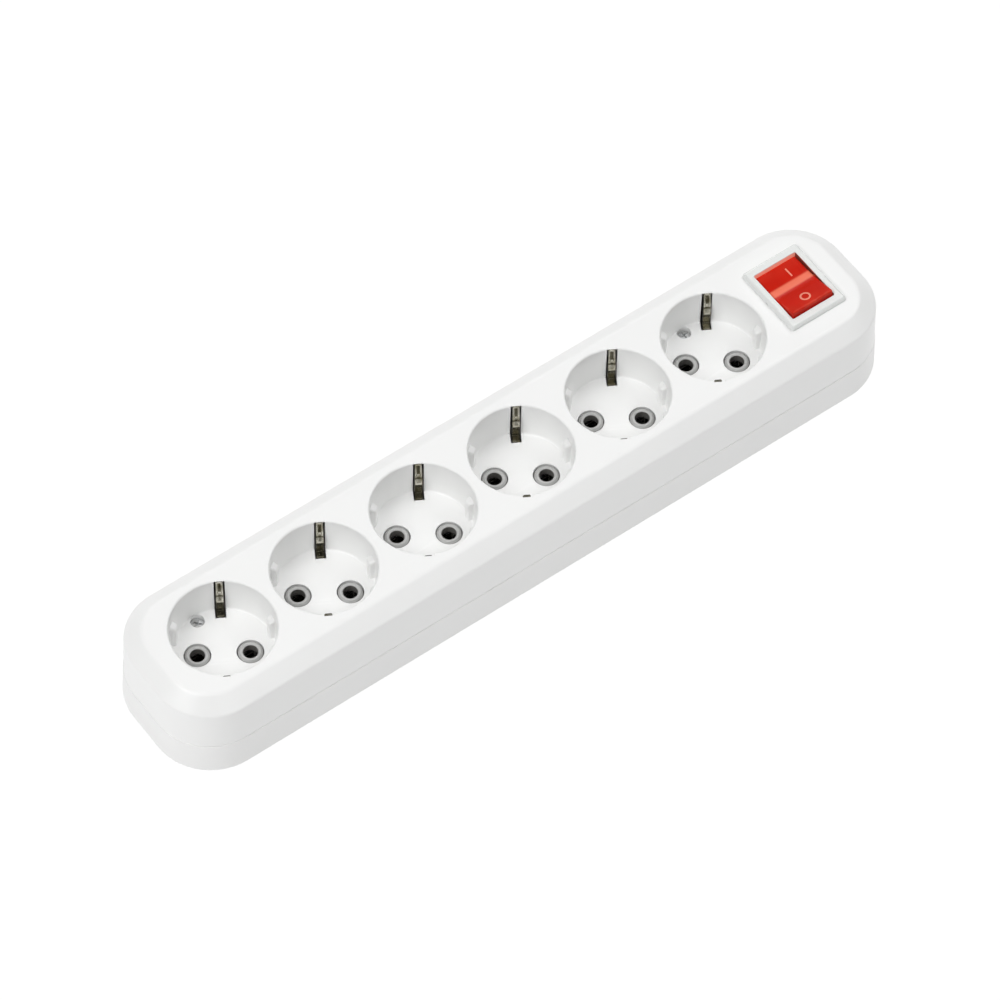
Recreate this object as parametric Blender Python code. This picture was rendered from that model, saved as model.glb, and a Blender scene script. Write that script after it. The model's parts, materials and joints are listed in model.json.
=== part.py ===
"""Six-way side-earthed socket block with an illuminated two-pole rocker switch.

X runs along the block from the plain end to the switch end, +Y is the side the
switch is pressed on to turn it on, +Z is up. The underside rests on Z = 0.
All sizes below are in millimetres; meshes are stored in metres.
"""

import math

import bmesh
import bpy
from mathutils import Matrix, Vector

MM = 0.001

# ----------------------------------------------------------------- clearances
FIT = 0.3
CUT = 1.0

# ---------------------------------------------------------------- outer shell
BODY_LENGTH = 320.0
BODY_WIDTH = 62.0
BODY_HEIGHT = 39.0
CORNER_RADIUS = 23.2
PARTING_HEIGHT = 12.0
SIDE_DRAFT = 1.6
BEVEL_RUN = 6.6
BEVEL_RISE = 5.4
WALL = 2.2
BASE_FLOOR = 2.2
BASE_EDGE = 0.8
CORNER_STEPS = 7

# -------------------------------------------------------------------- sockets
SOCKET_COUNT = 6
SOCKET_PITCH = 43.8
FIRST_SOCKET_INSET = 34.7
SOCKET_TURN = math.radians(-30.5)
WELL_RADIUS = 19.5
WELL_TAPER = 0.3
WELL_DEPTH = 17.2
WELL_WALL = 1.9
WELL_FLOOR = 2.4
RIM_ROUND = 0.8
WELL_STEPS = 40
RIB_WIDTH = 4.0
RIB_DEPTH = 2.2
RIB_TOP_DROP = 5.6
RIB_SPREAD = math.radians(20.0)
PIN_SPACING = 19.0
PIN_STEPS = 16

# ---------------------------------------------------------------- pin bushes
BUSH_RADIUS = 4.7
BUSH_BORE = 2.65
BUSH_PROUD = 0.5
BUSH_FLANGE = 5.7
BUSH_FLANGE_THICK = 0.9
BUSH_GAP = 0.4

# ------------------------------------------------------------ live and neutral
RAIL_THICK = 0.7
RAIL_HEIGHT = 8.0
RAIL_TALL = 9.0
LEAF_HALF_GAP = 2.0
LEAF_REACH = 3.2
RAIL_END_GAP = 21.1
LEAD_RADIUS = 1.25

# ---------------------------------------------------------------------- earth
EARTH_WIDTH = 4.0
EARTH_THICK = 0.8
EARTH_HEIGHT = 3.4
EARTH_END_GAP = 11.1
CLIP_WIDTH = 3.0
CLIP_THICK = 0.7
CLIP_SIDE_GAP = 0.5
CLIP_REACH = 5.3
SLOT_TOP_DROP = 0.8
TERMINAL_LENGTH = 6.0
TERMINAL_WIDTH = 7.0
TERMINAL_HEIGHT = 6.6

# --------------------------------------------------------------------- screws
SCREW_HEAD = 2.6
SCREW_HEAD_TALL = 1.2
SCREW_SHAFT = 1.45
SCREW_OFFSET = 16.8
SCREW_STEPS = 16
POST_RADIUS = 3.4

# --------------------------------------------------------------------- switch
SWITCH_INSET = 28.9
WINDOW_X = 19.4
WINDOW_Y = 23.9
HOUSING_SIDE_WALL = 1.1
HOUSING_END_WALL = 1.85
HOUSING_DEPTH = 20.5
HOUSING_FLOOR = 2.0
BEZEL_SIDE_LIP = 1.95
BEZEL_END_LIP = 1.85
BEZEL_TALL = 1.7
PIVOT_DROP = 2.5
ROCK_HALF = math.radians(9.0)
ROCKER_END_GAP = 0.5
ROCKER_END_RISE = 2.05
CREASE_RISE = 0.75
CREASE_ROUND = 2.4
ROCKER_SKIRT = 4.4
ROCKER_SHELL = 1.6
TRUNNION_RADIUS = 1.0
TRUNNION_GAP = 0.08
POLE_OFFSET = 4.8
GUIDE_RADIUS = 2.4
GUIDE_BORE = 1.7
GUIDE_DROP = 7.0
PLUNGER_RADIUS = 1.35
TIP_DROP = 12.0
LEVER_LENGTH = 16.0
LEVER_WIDTH = 5.0
LEVER_THICK = 0.8
BLADE_WIDTH = 6.3
BLADE_THICK = 0.8
BLADE_REACH = 9.0
LOAD_BLADE_Y = -8.0

# ---------------------------------------------------------------- cord inlet
INLET_BORE = 4.6
INLET_WALL = 1.6
CLAMP_INSET = 11.0
CLAMP_SPAN = 8.4
CORD_RADIUS = 4.0

# -------------------------------------------------------------- derived sizes
HALF_LENGTH = BODY_LENGTH / 2
HALF_WIDTH = BODY_WIDTH / 2
BEVEL_FOOT = BODY_HEIGHT - BEVEL_RISE
FLOOR_TOP = BODY_HEIGHT - WELL_DEPTH
FLOOR_UNDER = FLOOR_TOP - WELL_FLOOR
WELL_OUTER = WELL_RADIUS + WELL_WALL
FIRST_SOCKET_X = -HALF_LENGTH + FIRST_SOCKET_INSET
PIN_RADIUS = PIN_SPACING / 2
PIN_Y = -PIN_RADIUS * math.sin(SOCKET_TURN)
RAIL_Y = PIN_Y + LEAF_HALF_GAP + RAIL_THICK / 2
CLIP_TURN = SOCKET_TURN + math.pi / 2
CLIP_FOOT = WELL_RADIUS - CLIP_REACH
SLOT_WIDTH = CLIP_WIDTH + 2 * CLIP_SIDE_GAP
SWITCH_X = HALF_LENGTH - SWITCH_INSET
RAIL_END_X = SWITCH_X - RAIL_END_GAP
EARTH_END_X = SWITCH_X - EARTH_END_GAP
HOUSING_X = WINDOW_X + 2 * HOUSING_SIDE_WALL
HOUSING_Y = WINDOW_Y + 2 * HOUSING_END_WALL
BEZEL_X = HOUSING_X + 2 * BEZEL_SIDE_LIP
BEZEL_Y = HOUSING_Y + 2 * BEZEL_END_LIP
BEZEL_BASE = BODY_HEIGHT + FIT
BEZEL_TOP = BEZEL_BASE + BEZEL_TALL
PIVOT_Z = BEZEL_TOP - PIVOT_DROP
ROCKER_X = WINDOW_X - 2 * FIT
ROCKER_END = WINDOW_Y / 2 - ROCKER_END_GAP
HOUSING_BOTTOM = BODY_HEIGHT - HOUSING_DEPTH
CAVITY_BOTTOM = HOUSING_BOTTOM + HOUSING_FLOOR
BLADE_BOTTOM = HOUSING_BOTTOM - BLADE_REACH
TIP_RADIUS = 1.0
LEVER_Z = PIVOT_Z - TIP_DROP - FIT - LEVER_THICK / 2
SUPPLY_TOP = LEVER_Z - LEVER_THICK / 2 - FIT
INLET_RADIUS = INLET_BORE + INLET_WALL
CLAMP_X = HALF_LENGTH - CLAMP_INSET


# ================================================================== geometry
def clear_scene():
    for obj in list(bpy.data.objects):
        bpy.data.objects.remove(obj, do_unlink=True)


def material(name, colour, roughness, metallic=0.0):
    mat = bpy.data.materials.new(name)
    mat.use_nodes = True
    shader = mat.node_tree.nodes["Principled BSDF"]
    shader.inputs["Base Color"].default_value = (*colour, 1.0)
    shader.inputs["Roughness"].default_value = roughness
    shader.inputs["Metallic"].default_value = metallic
    mat.diffuse_color = (*colour, 1.0)
    return mat


def rounded_ring(half_x, half_y, radius, z, centre=(0.0, 0.0), steps=CORNER_STEPS):
    """A rounded rectangle at height z, anticlockwise seen from above."""
    ring = []
    for index, (sx, sy) in enumerate(((1, 1), (-1, 1), (-1, -1), (1, -1))):
        cx = centre[0] + sx * (half_x - radius)
        cy = centre[1] + sy * (half_y - radius)
        for step in range(steps + 1):
            angle = (index + step / steps) * math.pi / 2
            x = cx + radius * math.cos(angle)
            y = cy + radius * math.sin(angle)
            ring.append(Vector((x, y, z)))
    return ring


def circle(radius, z, steps, centre=(0.0, 0.0)):
    ring = []
    for step in range(steps):
        angle = 2 * math.pi * step / steps
        x = centre[0] + radius * math.cos(angle)
        y = centre[1] + radius * math.sin(angle)
        ring.append(Vector((x, y, z)))
    return ring


def loft(rings, closed=False):
    """Joins rings of equal length, bottom to top, and caps the ends unless closed."""
    bm = bmesh.new()
    rows = [[bm.verts.new(point) for point in ring] for ring in rings]
    count = len(rows[0])
    pairs = list(zip(rows, rows[1:]))
    if closed:
        pairs.append((rows[-1], rows[0]))
    for low, high in pairs:
        for i in range(count):
            j = (i + 1) % count
            bm.faces.new((low[i], low[j], high[j], high[i]))
    if not closed:
        bm.faces.new(tuple(reversed(rows[0])))
        bm.faces.new(tuple(rows[-1]))
    bmesh.ops.recalc_face_normals(bm, faces=bm.faces)
    return bm


def revolve(profile, steps, centre=(0.0, 0.0), closed=False):
    return loft([circle(r, z, steps, centre) for r, z in profile], closed)


def prism(outline, low, high):
    """Extrudes an outline of (across, up) points along X from low to high."""
    bottom = [Vector((low, a, b)) for a, b in outline]
    top = [Vector((high, a, b)) for a, b in outline]
    return loft([bottom, top])


def box(low, high):
    outline = ((low[1], low[2]), (high[1], low[2]), (high[1], high[2]), (low[1], high[2]))
    return prism(outline, low[0], high[0])


def placed(bm, matrix):
    bmesh.ops.transform(bm, matrix=matrix, verts=bm.verts)
    return bm


def shifted(bm, x=0.0, y=0.0, z=0.0):
    return placed(bm, Matrix.Translation((x, y, z)))


def turned_z(bm, angle):
    return placed(bm, Matrix.Rotation(angle, 4, "Z"))


def along_x(bm):
    """Lays a shape built about Z down along +X."""
    return placed(bm, Matrix.Rotation(math.pi / 2, 4, "Y"))


def gathered(shapes):
    """Several separate closed shapes as one mesh."""
    merged = bmesh.new()
    for bm in shapes:
        mesh = bpy.data.meshes.new("shape")
        bm.to_mesh(mesh)
        bm.free()
        merged.from_mesh(mesh)
        bpy.data.meshes.remove(mesh)
    return merged


def thick_path(points, thickness):
    """The outline of a strip of constant thickness that follows the points."""
    left, right = [], []
    for i, point in enumerate(points):
        before = points[max(i - 1, 0)]
        after = points[min(i + 1, len(points) - 1)]
        first = Vector((point[0] - before[0], point[1] - before[1]))
        second = Vector((after[0] - point[0], after[1] - point[1]))
        first = first.normalized() if first.length else second.normalized()
        second = second.normalized() if second.length else first
        normal = Vector((-(first.y + second.y), first.x + second.x)).normalized()
        reach = thickness / 2 / max(normal.dot(Vector((-second.y, second.x))), 0.5)
        left.append((point[0] + normal.x * reach, point[1] + normal.y * reach))
        right.append((point[0] - normal.x * reach, point[1] - normal.y * reach))
    return left + right[::-1]


def tube(points, radius, sides):
    """A round bar along a smooth path."""
    points = [Vector(point) for point in points]
    rings = []
    side = None
    for i, point in enumerate(points):
        before = points[max(i - 1, 0)]
        after = points[min(i + 1, len(points) - 1)]
        ahead = (after - before).normalized()
        if side is None:
            side = ahead.orthogonal().normalized()
        side = (side - ahead * side.dot(ahead)).normalized()
        other = ahead.cross(side)
        ring = []
        for step in range(sides):
            angle = 2 * math.pi * step / sides
            ring.append(point + radius * (math.cos(angle) * side + math.sin(angle) * other))
        rings.append(ring)
    return loft(rings)


def smoothed(points, rounds=2):
    """Cuts the corners of a path, keeping its ends."""
    points = [Vector(point) for point in points]
    for _ in range(rounds):
        path = [points[0]]
        for a, b in zip(points, points[1:]):
            path.append(a.lerp(b, 0.25))
            path.append(a.lerp(b, 0.75))
        path.append(points[-1])
        points = path
    return points


def finish(name, bm, mat, origin=(0.0, 0.0, 0.0), parent=None, smooth=True):
    """Makes a millimetre mesh into a named object in metres."""
    origin = Vector(origin)
    bmesh.ops.transform(bm, matrix=Matrix.Translation(-origin), verts=bm.verts)
    bmesh.ops.scale(bm, vec=(MM, MM, MM), verts=bm.verts)
    bmesh.ops.recalc_face_normals(bm, faces=bm.faces)
    mesh = bpy.data.meshes.new(name)
    bm.to_mesh(mesh)
    bm.free()
    if smooth:
        mesh.shade_smooth()
        mesh.set_sharp_from_angle(angle=math.radians(32))
    mesh.materials.append(mat)
    obj = bpy.data.objects.new(name, mesh)
    bpy.context.scene.collection.objects.link(obj)
    obj.location = origin * MM
    obj.parent = parent
    return obj


def helper(name, bm):
    mesh = bpy.data.meshes.new(name)
    bm.to_mesh(mesh)
    bm.free()
    obj = bpy.data.objects.new(name, mesh)
    bpy.context.scene.collection.objects.link(obj)
    return obj


def combined(bm, steps):
    """Applies (operation, shape) steps to a shape with the exact solver."""
    target = helper("target", bm)
    for operation, shape in steps:
        cutter = helper("cutter", shape)
        modifier = target.modifiers.new("solid", "BOOLEAN")
        modifier.operation = operation
        modifier.solver = "EXACT"
        modifier.object = cutter
        graph = bpy.context.evaluated_depsgraph_get()
        made = bpy.data.meshes.new_from_object(target.evaluated_get(graph))
        target.modifiers.clear()
        old = target.data
        target.data = made
        bpy.data.meshes.remove(old)
        bpy.data.objects.remove(cutter, do_unlink=True)
    result = bmesh.new()
    result.from_mesh(target.data)
    bpy.data.objects.remove(target, do_unlink=True)
    bmesh.ops.remove_doubles(result, verts=result.verts, dist=1e-4)
    bmesh.ops.dissolve_limit(
        result, angle_limit=math.radians(0.05), verts=result.verts, edges=result.edges
    )
    return result


def socket_x(index):
    return FIRST_SOCKET_X + index * SOCKET_PITCH


def pin_place(index, side):
    """Centre of a pin: side is +1 on the live line and -1 on the neutral line."""
    x = socket_x(index) - side * PIN_RADIUS * math.cos(SOCKET_TURN)
    return x, side * PIN_Y


def at_every_socket(maker):
    return [shifted(maker(), x=socket_x(index)) for index in range(SOCKET_COUNT)]


def at_every_pin(maker):
    shapes = []
    for index in range(SOCKET_COUNT):
        for side in (1, -1):
            x, y = pin_place(index, side)
            shapes.append(shifted(maker(), x=x, y=y))
    return shapes


# ===================================================================== shell
def shell_ring(inset, z):
    half_x = HALF_LENGTH - inset
    half_y = HALF_WIDTH - inset
    return rounded_ring(half_x, half_y, CORNER_RADIUS - inset, z)


def draft_at(z):
    return SIDE_DRAFT * z / BEVEL_FOOT


def outer_rings():
    """Side wall, a tight round onto the bevel, a softer round onto the top."""
    rings = [shell_ring(draft_at(PARTING_HEIGHT), PARTING_HEIGHT + FIT / 2)]
    rings.append(shell_ring(draft_at(BEVEL_FOOT - 1.2), BEVEL_FOOT - 1.2))
    rings.append(shell_ring(SIDE_DRAFT + 0.28, BEVEL_FOOT - 0.1))
    rings.append(shell_ring(SIDE_DRAFT + BEVEL_RUN / 6, BEVEL_FOOT + 0.8))
    rings.append(shell_ring(SIDE_DRAFT + BEVEL_RUN - 1.3, BODY_HEIGHT - 1.0))
    rings.append(shell_ring(SIDE_DRAFT + BEVEL_RUN - 0.1, BODY_HEIGHT - 0.26))
    rings.append(shell_ring(SIDE_DRAFT + BEVEL_RUN + 1.3, BODY_HEIGHT))
    return rings


def inner_rings():
    inset = WALL + draft_at(PARTING_HEIGHT)
    rings = [shell_ring(inset, PARTING_HEIGHT - CUT)]
    rings.append(shell_ring(WALL + SIDE_DRAFT, BEVEL_FOOT - WALL * 0.4))
    rings.append(shell_ring(WALL + SIDE_DRAFT + BEVEL_RUN - 1.4, BODY_HEIGHT - WALL))
    return rings


def well_tube():
    profile = ((WELL_OUTER, FLOOR_UNDER), (WELL_OUTER, BODY_HEIGHT - WALL / 2))
    return revolve(profile, WELL_STEPS)


def well_hollow():
    floor_radius = WELL_RADIUS - WELL_TAPER
    shoulder = BODY_HEIGHT - RIM_ROUND
    profile = [(floor_radius - 0.6, FLOOR_TOP), (floor_radius, FLOOR_TOP + 0.6)]
    for step in range(4):
        angle = step / 3 * math.radians(80)
        radius = WELL_RADIUS + RIM_ROUND * (1 - math.cos(angle))
        profile.append((radius, shoulder + RIM_ROUND * math.sin(angle)))
    profile.append((WELL_RADIUS + RIM_ROUND * 1.2, BODY_HEIGHT + CUT))
    return revolve(profile, WELL_STEPS)


def guide_rib(side, hand):
    """One of the two ribs that flank the pin line at each end of it."""
    top = BODY_HEIGHT - RIB_TOP_DROP
    inner = WELL_RADIUS - RIB_DEPTH
    outer = WELL_RADIUS + WELL_WALL / 2
    low = FLOOR_TOP - WELL_FLOOR / 2
    outline = (
        (-RIB_WIDTH / 2, low),
        (RIB_WIDTH / 2, low),
        (RIB_WIDTH / 2, top),
        (-RIB_WIDTH / 2, top),
    )
    rib = prism(outline, inner, outer)
    for vert in rib.verts:
        if vert.co.x < inner + 0.01 and vert.co.z > top - 0.01:
            vert.co.z -= 1.0
        if vert.co.x < inner + 0.01:
            vert.co.y *= 0.8
    return turned_z(rib, SOCKET_TURN + hand * RIB_SPREAD + (math.pi if side < 0 else 0.0))


def clip_slot(side):
    """The opening that lets an earth clip rise through the floor and into the wall."""
    outer = WELL_OUTER + CUT
    lean = WELL_RADIUS - 1.2
    top = BODY_HEIGHT - SLOT_TOP_DROP
    outline = (
        (CLIP_FOOT - FIT, FLOOR_UNDER - CUT),
        (outer, FLOOR_UNDER - CUT),
        (outer, top),
        (lean, top),
        (lean, FLOOR_TOP + CUT),
        (CLIP_FOOT - FIT, FLOOR_TOP + CUT),
    )
    slot = prism(outline, -SLOT_WIDTH / 2, SLOT_WIDTH / 2)
    turn = CLIP_TURN - math.pi / 2 + (math.pi if side < 0 else 0.0)
    return turned_z(slot, turn)


def pin_hole():
    radius = BUSH_RADIUS + BUSH_GAP
    profile = ((radius, FLOOR_UNDER - CUT), (radius, FLOOR_TOP + CUT))
    return revolve(profile, PIN_STEPS)


def screw_hole(index):
    head_seat = FLOOR_TOP - SCREW_HEAD_TALL - 2 * FIT + 0.2
    profile = (
        (SCREW_SHAFT + FIT, FLOOR_UNDER - CUT),
        (SCREW_SHAFT + FIT, head_seat),
        (SCREW_HEAD + FIT, head_seat),
        (SCREW_HEAD + FIT, FLOOR_TOP + CUT),
    )
    return revolve(profile, SCREW_STEPS, (socket_x(index), SCREW_OFFSET))


def inlet_hole():
    hole = revolve(((INLET_RADIUS + FIT, 0.0), (INLET_RADIUS + FIT, 3 * WALL)), 24)
    return shifted(along_x(hole), x=HALF_LENGTH - 2 * WALL, z=PARTING_HEIGHT)


def switch_cutout():
    half_x = HOUSING_X / 2 + FIT
    half_y = HOUSING_Y / 2 + FIT
    low = (SWITCH_X - half_x, -half_y, BODY_HEIGHT - WALL - CUT)
    return box(low, (SWITCH_X + half_x, half_y, BODY_HEIGHT + CUT))


def make_cover(mat):
    ribs = []
    for side in (1, -1):
        for hand in (1, -1):
            ribs += at_every_socket(lambda: guide_rib(side, hand))
    slots = [shape for side in (1, -1) for shape in at_every_socket(lambda: clip_slot(side))]
    ends = (0, SOCKET_COUNT - 1)
    cover = combined(
        loft(outer_rings()),
        (
            ("DIFFERENCE", loft(inner_rings())),
            ("UNION", gathered(at_every_socket(well_tube))),
            ("DIFFERENCE", gathered(at_every_socket(well_hollow))),
            ("UNION", gathered(ribs)),
            ("DIFFERENCE", gathered(slots)),
            ("DIFFERENCE", gathered(at_every_pin(pin_hole))),
            ("DIFFERENCE", gathered([screw_hole(index) for index in ends])),
            ("DIFFERENCE", switch_cutout()),
            ("DIFFERENCE", inlet_hole()),
        ),
    )
    return finish("top_cover", cover, mat)


def base_posts():
    """Screw posts, rail rests and the two posts of the cord clamp."""
    shapes = []
    low = BASE_FLOOR - 0.8
    for index in (0, SOCKET_COUNT - 1):
        profile = ((POST_RADIUS, low), (POST_RADIUS, FLOOR_UNDER - 2 * FIT))
        shapes.append(revolve(profile, SCREW_STEPS, (socket_x(index), SCREW_OFFSET)))
    for index in range(SOCKET_COUNT - 1):
        x = socket_x(index) + SOCKET_PITCH / 2
        for side in (1, -1):
            y = side * RAIL_Y
            top = RAIL_HEIGHT - FIT
            shapes.append(box((x - 2.5, y - 1.4, low), (x + 2.5, y + 1.4, top)))
        shapes.append(box((x - 2.5, -1.5, low), (x + 2.5, 1.5, EARTH_HEIGHT - FIT)))
    for side in (1, -1):
        profile = ((POST_RADIUS, low), (POST_RADIUS, clamp_bottom() - FIT))
        shapes.append(revolve(profile, SCREW_STEPS, (CLAMP_X, side * CLAMP_SPAN)))
    return shapes


def clamp_bottom():
    return PARTING_HEIGHT + CORD_RADIUS


def pilot_holes():
    shapes = []
    radius = SCREW_SHAFT + FIT
    for index in (0, SOCKET_COUNT - 1):
        profile = ((radius, BASE_FLOOR + 2.0), (radius, FLOOR_UNDER))
        shapes.append(revolve(profile, SCREW_STEPS, (socket_x(index), SCREW_OFFSET)))
    for side in (1, -1):
        profile = ((radius, BASE_FLOOR + 2.0), (radius, clamp_bottom()))
        shapes.append(revolve(profile, SCREW_STEPS, (CLAMP_X, side * CLAMP_SPAN)))
    return shapes


def make_base(mat):
    top = PARTING_HEIGHT - FIT / 2
    skirt = draft_at(BASE_EDGE)
    outside = (shell_ring(BASE_EDGE, 0.0), shell_ring(skirt, BASE_EDGE), shell_ring(draft_at(top), top))
    outer = loft(outside)
    inset = WALL + draft_at(PARTING_HEIGHT)
    inside = [shell_ring(inset + 1.0, BASE_FLOOR), shell_ring(inset, BASE_FLOOR + 1.0)]
    inside.append(shell_ring(inset, top + CUT))
    hollow = loft(inside)
    base = combined(
        outer,
        (
            ("DIFFERENCE", hollow),
            ("UNION", gathered(base_posts())),
            ("DIFFERENCE", gathered(pilot_holes())),
            ("DIFFERENCE", inlet_hole()),
        ),
    )
    return finish("base_tray", base, mat)


# ================================================================== contacts
def make_bush(name, x, y, mat):
    top = FLOOR_TOP + BUSH_PROUD
    flange_top = FLOOR_UNDER - FIT
    profile = (
        (BUSH_BORE, flange_top - BUSH_FLANGE_THICK),
        (BUSH_FLANGE, flange_top - BUSH_FLANGE_THICK),
        (BUSH_FLANGE, flange_top),
        (BUSH_RADIUS, flange_top),
        (BUSH_RADIUS, top - 0.35),
        (BUSH_RADIUS - 0.35, top),
        (BUSH_BORE + 0.4, top),
        (BUSH_BORE, top - 0.4),
    )
    ring = revolve(profile, PIN_STEPS, (x, y), closed=True)
    return finish(name, ring, mat, origin=(x, y, FLOOR_TOP))


def contact_loop(side):
    """Seen from above: a wall off the rail, then the spring leaf on the pin's inner side."""
    across = side * (LEAF_HALF_GAP + RAIL_THICK / 2)
    path = (
        (-LEAF_REACH - 0.8, across),
        (-LEAF_REACH - 0.8, -across * 0.4),
        (-LEAF_REACH + 0.4, -across),
        (LEAF_REACH - 0.8, -across * 0.94),
        (LEAF_REACH + 0.4, -across * 1.2),
    )
    outline = thick_path(path, RAIL_THICK)
    low = RAIL_HEIGHT + 0.6
    high = RAIL_HEIGHT + RAIL_TALL - 0.6
    return loft([[Vector((x, y, z)) for x, y in outline] for z in (low, high)])


def make_rail(name, side, mat):
    """A strip on edge beside the pins, so that each pin has its whole depth free."""
    first = pin_place(0, side)[0] - LEAF_REACH - 2.0
    y = side * RAIL_Y
    half = RAIL_THICK / 2
    top = RAIL_HEIGHT + RAIL_TALL
    strip = box((first, y - half, RAIL_HEIGHT), (RAIL_END_X, y + half, top))
    loops = []
    for index in range(SOCKET_COUNT):
        x, pin_y = pin_place(index, side)
        loops.append(shifted(contact_loop(side), x=x, y=pin_y))
    rail = combined(strip, (("UNION", gathered(loops)),))
    return finish(name, rail, mat, smooth=False)


def make_earth_rail(mat):
    low = (socket_x(0) - 8.0, -EARTH_WIDTH / 2, EARTH_HEIGHT)
    high = (EARTH_END_X, EARTH_WIDTH / 2, EARTH_HEIGHT + EARTH_THICK)
    return finish("earth_rail", box(low, high), mat, smooth=False)


def clip_path():
    """Half of a stirrup: strap, foot level with the floor, arm bowed in, end bent back."""
    strap = EARTH_HEIGHT + EARTH_THICK + FIT + CLIP_THICK / 2
    return (
        (CLIP_FOOT, strap),
        (CLIP_FOOT + 0.8, strap + 0.8),
        (CLIP_FOOT + 0.8, FLOOR_TOP - 1.0),
        (CLIP_FOOT + 1.3, FLOOR_TOP - 0.35),
        (CLIP_FOOT + 4.0, FLOOR_TOP - 0.1),
        (CLIP_FOOT + 4.7, FLOOR_TOP + 0.7),
        (CLIP_FOOT + 3.6, FLOOR_TOP + 6.8),
        (CLIP_FOOT + 5.0, FLOOR_TOP + 10.2),
        (CLIP_FOOT + 4.9, FLOOR_TOP + 11.6),
        (CLIP_FOOT + 5.8, FLOOR_TOP + 13.9),
        (CLIP_FOOT + 6.5, BODY_HEIGHT - SLOT_TOP_DROP - 0.7),
    )


def make_earth_clip(index, mat):
    half = clip_path()
    path = [(-across, up) for across, up in reversed(half)] + list(half)
    outline = thick_path(path, CLIP_THICK)
    stirrup = prism(outline, -CLIP_WIDTH / 2, CLIP_WIDTH / 2)
    stirrup = turned_z(stirrup, CLIP_TURN - math.pi / 2)
    stirrup = shifted(stirrup, x=socket_x(index))
    name = "earth_clip_%d" % (index + 1)
    return finish(name, stirrup, mat, origin=(socket_x(index), 0.0, EARTH_HEIGHT), smooth=False)


def make_earth_terminal(brass, steel):
    low_z = EARTH_HEIGHT + EARTH_THICK + FIT
    x = EARTH_END_X - TERMINAL_LENGTH / 2 - 0.6
    half = TERMINAL_WIDTH / 2
    block = box(
        (x - TERMINAL_LENGTH / 2, -half, low_z),
        (x + TERMINAL_LENGTH / 2, half, low_z + TERMINAL_HEIGHT),
    )
    bore = along_x(revolve(((1.7, -CUT), (1.7, TERMINAL_LENGTH + CUT)), 16))
    bore = shifted(bore, x=x - TERMINAL_LENGTH / 2, z=low_z + 2.5)
    tapped = revolve(((1.6, low_z + 3.0), (1.6, low_z + TERMINAL_HEIGHT + CUT)), 16, (x, 0.0))
    body = combined(block, (("DIFFERENCE", bore), ("DIFFERENCE", tapped)))
    finish("earth_terminal", body, brass, origin=(x, 0.0, low_z), smooth=False)
    make_screw("earth_terminal_screw", (x, 0.0), low_z + TERMINAL_HEIGHT + FIT, 3.2, 1.3, 2.2, steel)


# ==================================================================== screws
def make_screw(name, place, seat, length, shaft, head, mat):
    """A cross-head screw standing on its seat height, pointing down."""
    top = seat + SCREW_HEAD_TALL
    profile = (
        (shaft * 0.35, seat - length),
        (shaft, seat - length + min(1.6, length / 3)),
        (shaft, seat),
        (head, seat),
        (head, seat + SCREW_HEAD_TALL * 0.55),
        (head * 0.72, top),
    )
    body = revolve(profile, SCREW_STEPS, place)
    arm = head * 0.62
    slim = head * 0.15
    low = top - SCREW_HEAD_TALL * 0.6
    cross = []
    for long_x, long_y in ((arm, slim), (slim, arm)):
        lowest = (place[0] - long_x, place[1] - long_y, low)
        cross.append(box(lowest, (place[0] + long_x, place[1] + long_y, top + CUT)))
    steps = [("DIFFERENCE", shape) for shape in cross]
    return finish(name, combined(body, steps), mat, origin=(*place, seat))


# ==================================================================== switch
def make_housing(mat):
    x = SWITCH_X
    ends = (HOUSING_BOTTOM, BEZEL_BASE + 0.5)
    body = loft([rounded_ring(HOUSING_X / 2, HOUSING_Y / 2, 0.8, z, (x, 0.0), 2) for z in ends])
    bezel = loft(
        (
            rounded_ring(BEZEL_X / 2, BEZEL_Y / 2, 1.2, BEZEL_BASE, (x, 0.0), 3),
            rounded_ring(BEZEL_X / 2, BEZEL_Y / 2, 1.2, BEZEL_TOP - 0.9, (x, 0.0), 3),
            rounded_ring(BEZEL_X / 2 - 0.6, BEZEL_Y / 2 - 0.6, 0.9, BEZEL_TOP, (x, 0.0), 3),
        )
    )
    half_x = WINDOW_X / 2
    half_y = WINDOW_Y / 2
    hollow = box((x - half_x, -half_y, CAVITY_BOTTOM), (x + half_x, half_y, BEZEL_TOP + CUT))
    fin = box((x - 0.5, -9.5, CAVITY_BOTTOM - 0.8), (x + 0.5, 2.6, PIVOT_Z - GUIDE_DROP - 1.6))
    rest = box((x - 1.4, 5.6, CAVITY_BOTTOM - 0.8), (x + 1.4, 7.4, lamp_height() - 2.2 - FIT))
    slots = []
    for pole in (-1, 1):
        for y in (0.0, LOAD_BLADE_Y):
            centre = x + pole * POLE_OFFSET
            wide = BLADE_WIDTH / 2 + FIT
            thin = BLADE_THICK / 2 + FIT
            low = (centre - wide, y - thin, HOUSING_BOTTOM - CUT)
            slots.append(box(low, (centre + wide, y + thin, CAVITY_BOTTOM + CUT)))
    reach = HOUSING_X / 2 + CUT
    radius = TRUNNION_RADIUS + TRUNNION_GAP
    bore = shifted(along_x(revolve(((radius, -reach), (radius, reach)), 24)), x=x, z=PIVOT_Z)
    housing = combined(
        body,
        (
            ("UNION", bezel),
            ("DIFFERENCE", hollow),
            ("UNION", gathered((fin, rest))),
            ("DIFFERENCE", gathered(slots)),
            ("DIFFERENCE", bore),
        ),
    )
    return finish("switch_housing", housing, mat, origin=(x, 0.0, BEZEL_BASE), smooth=False)


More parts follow.
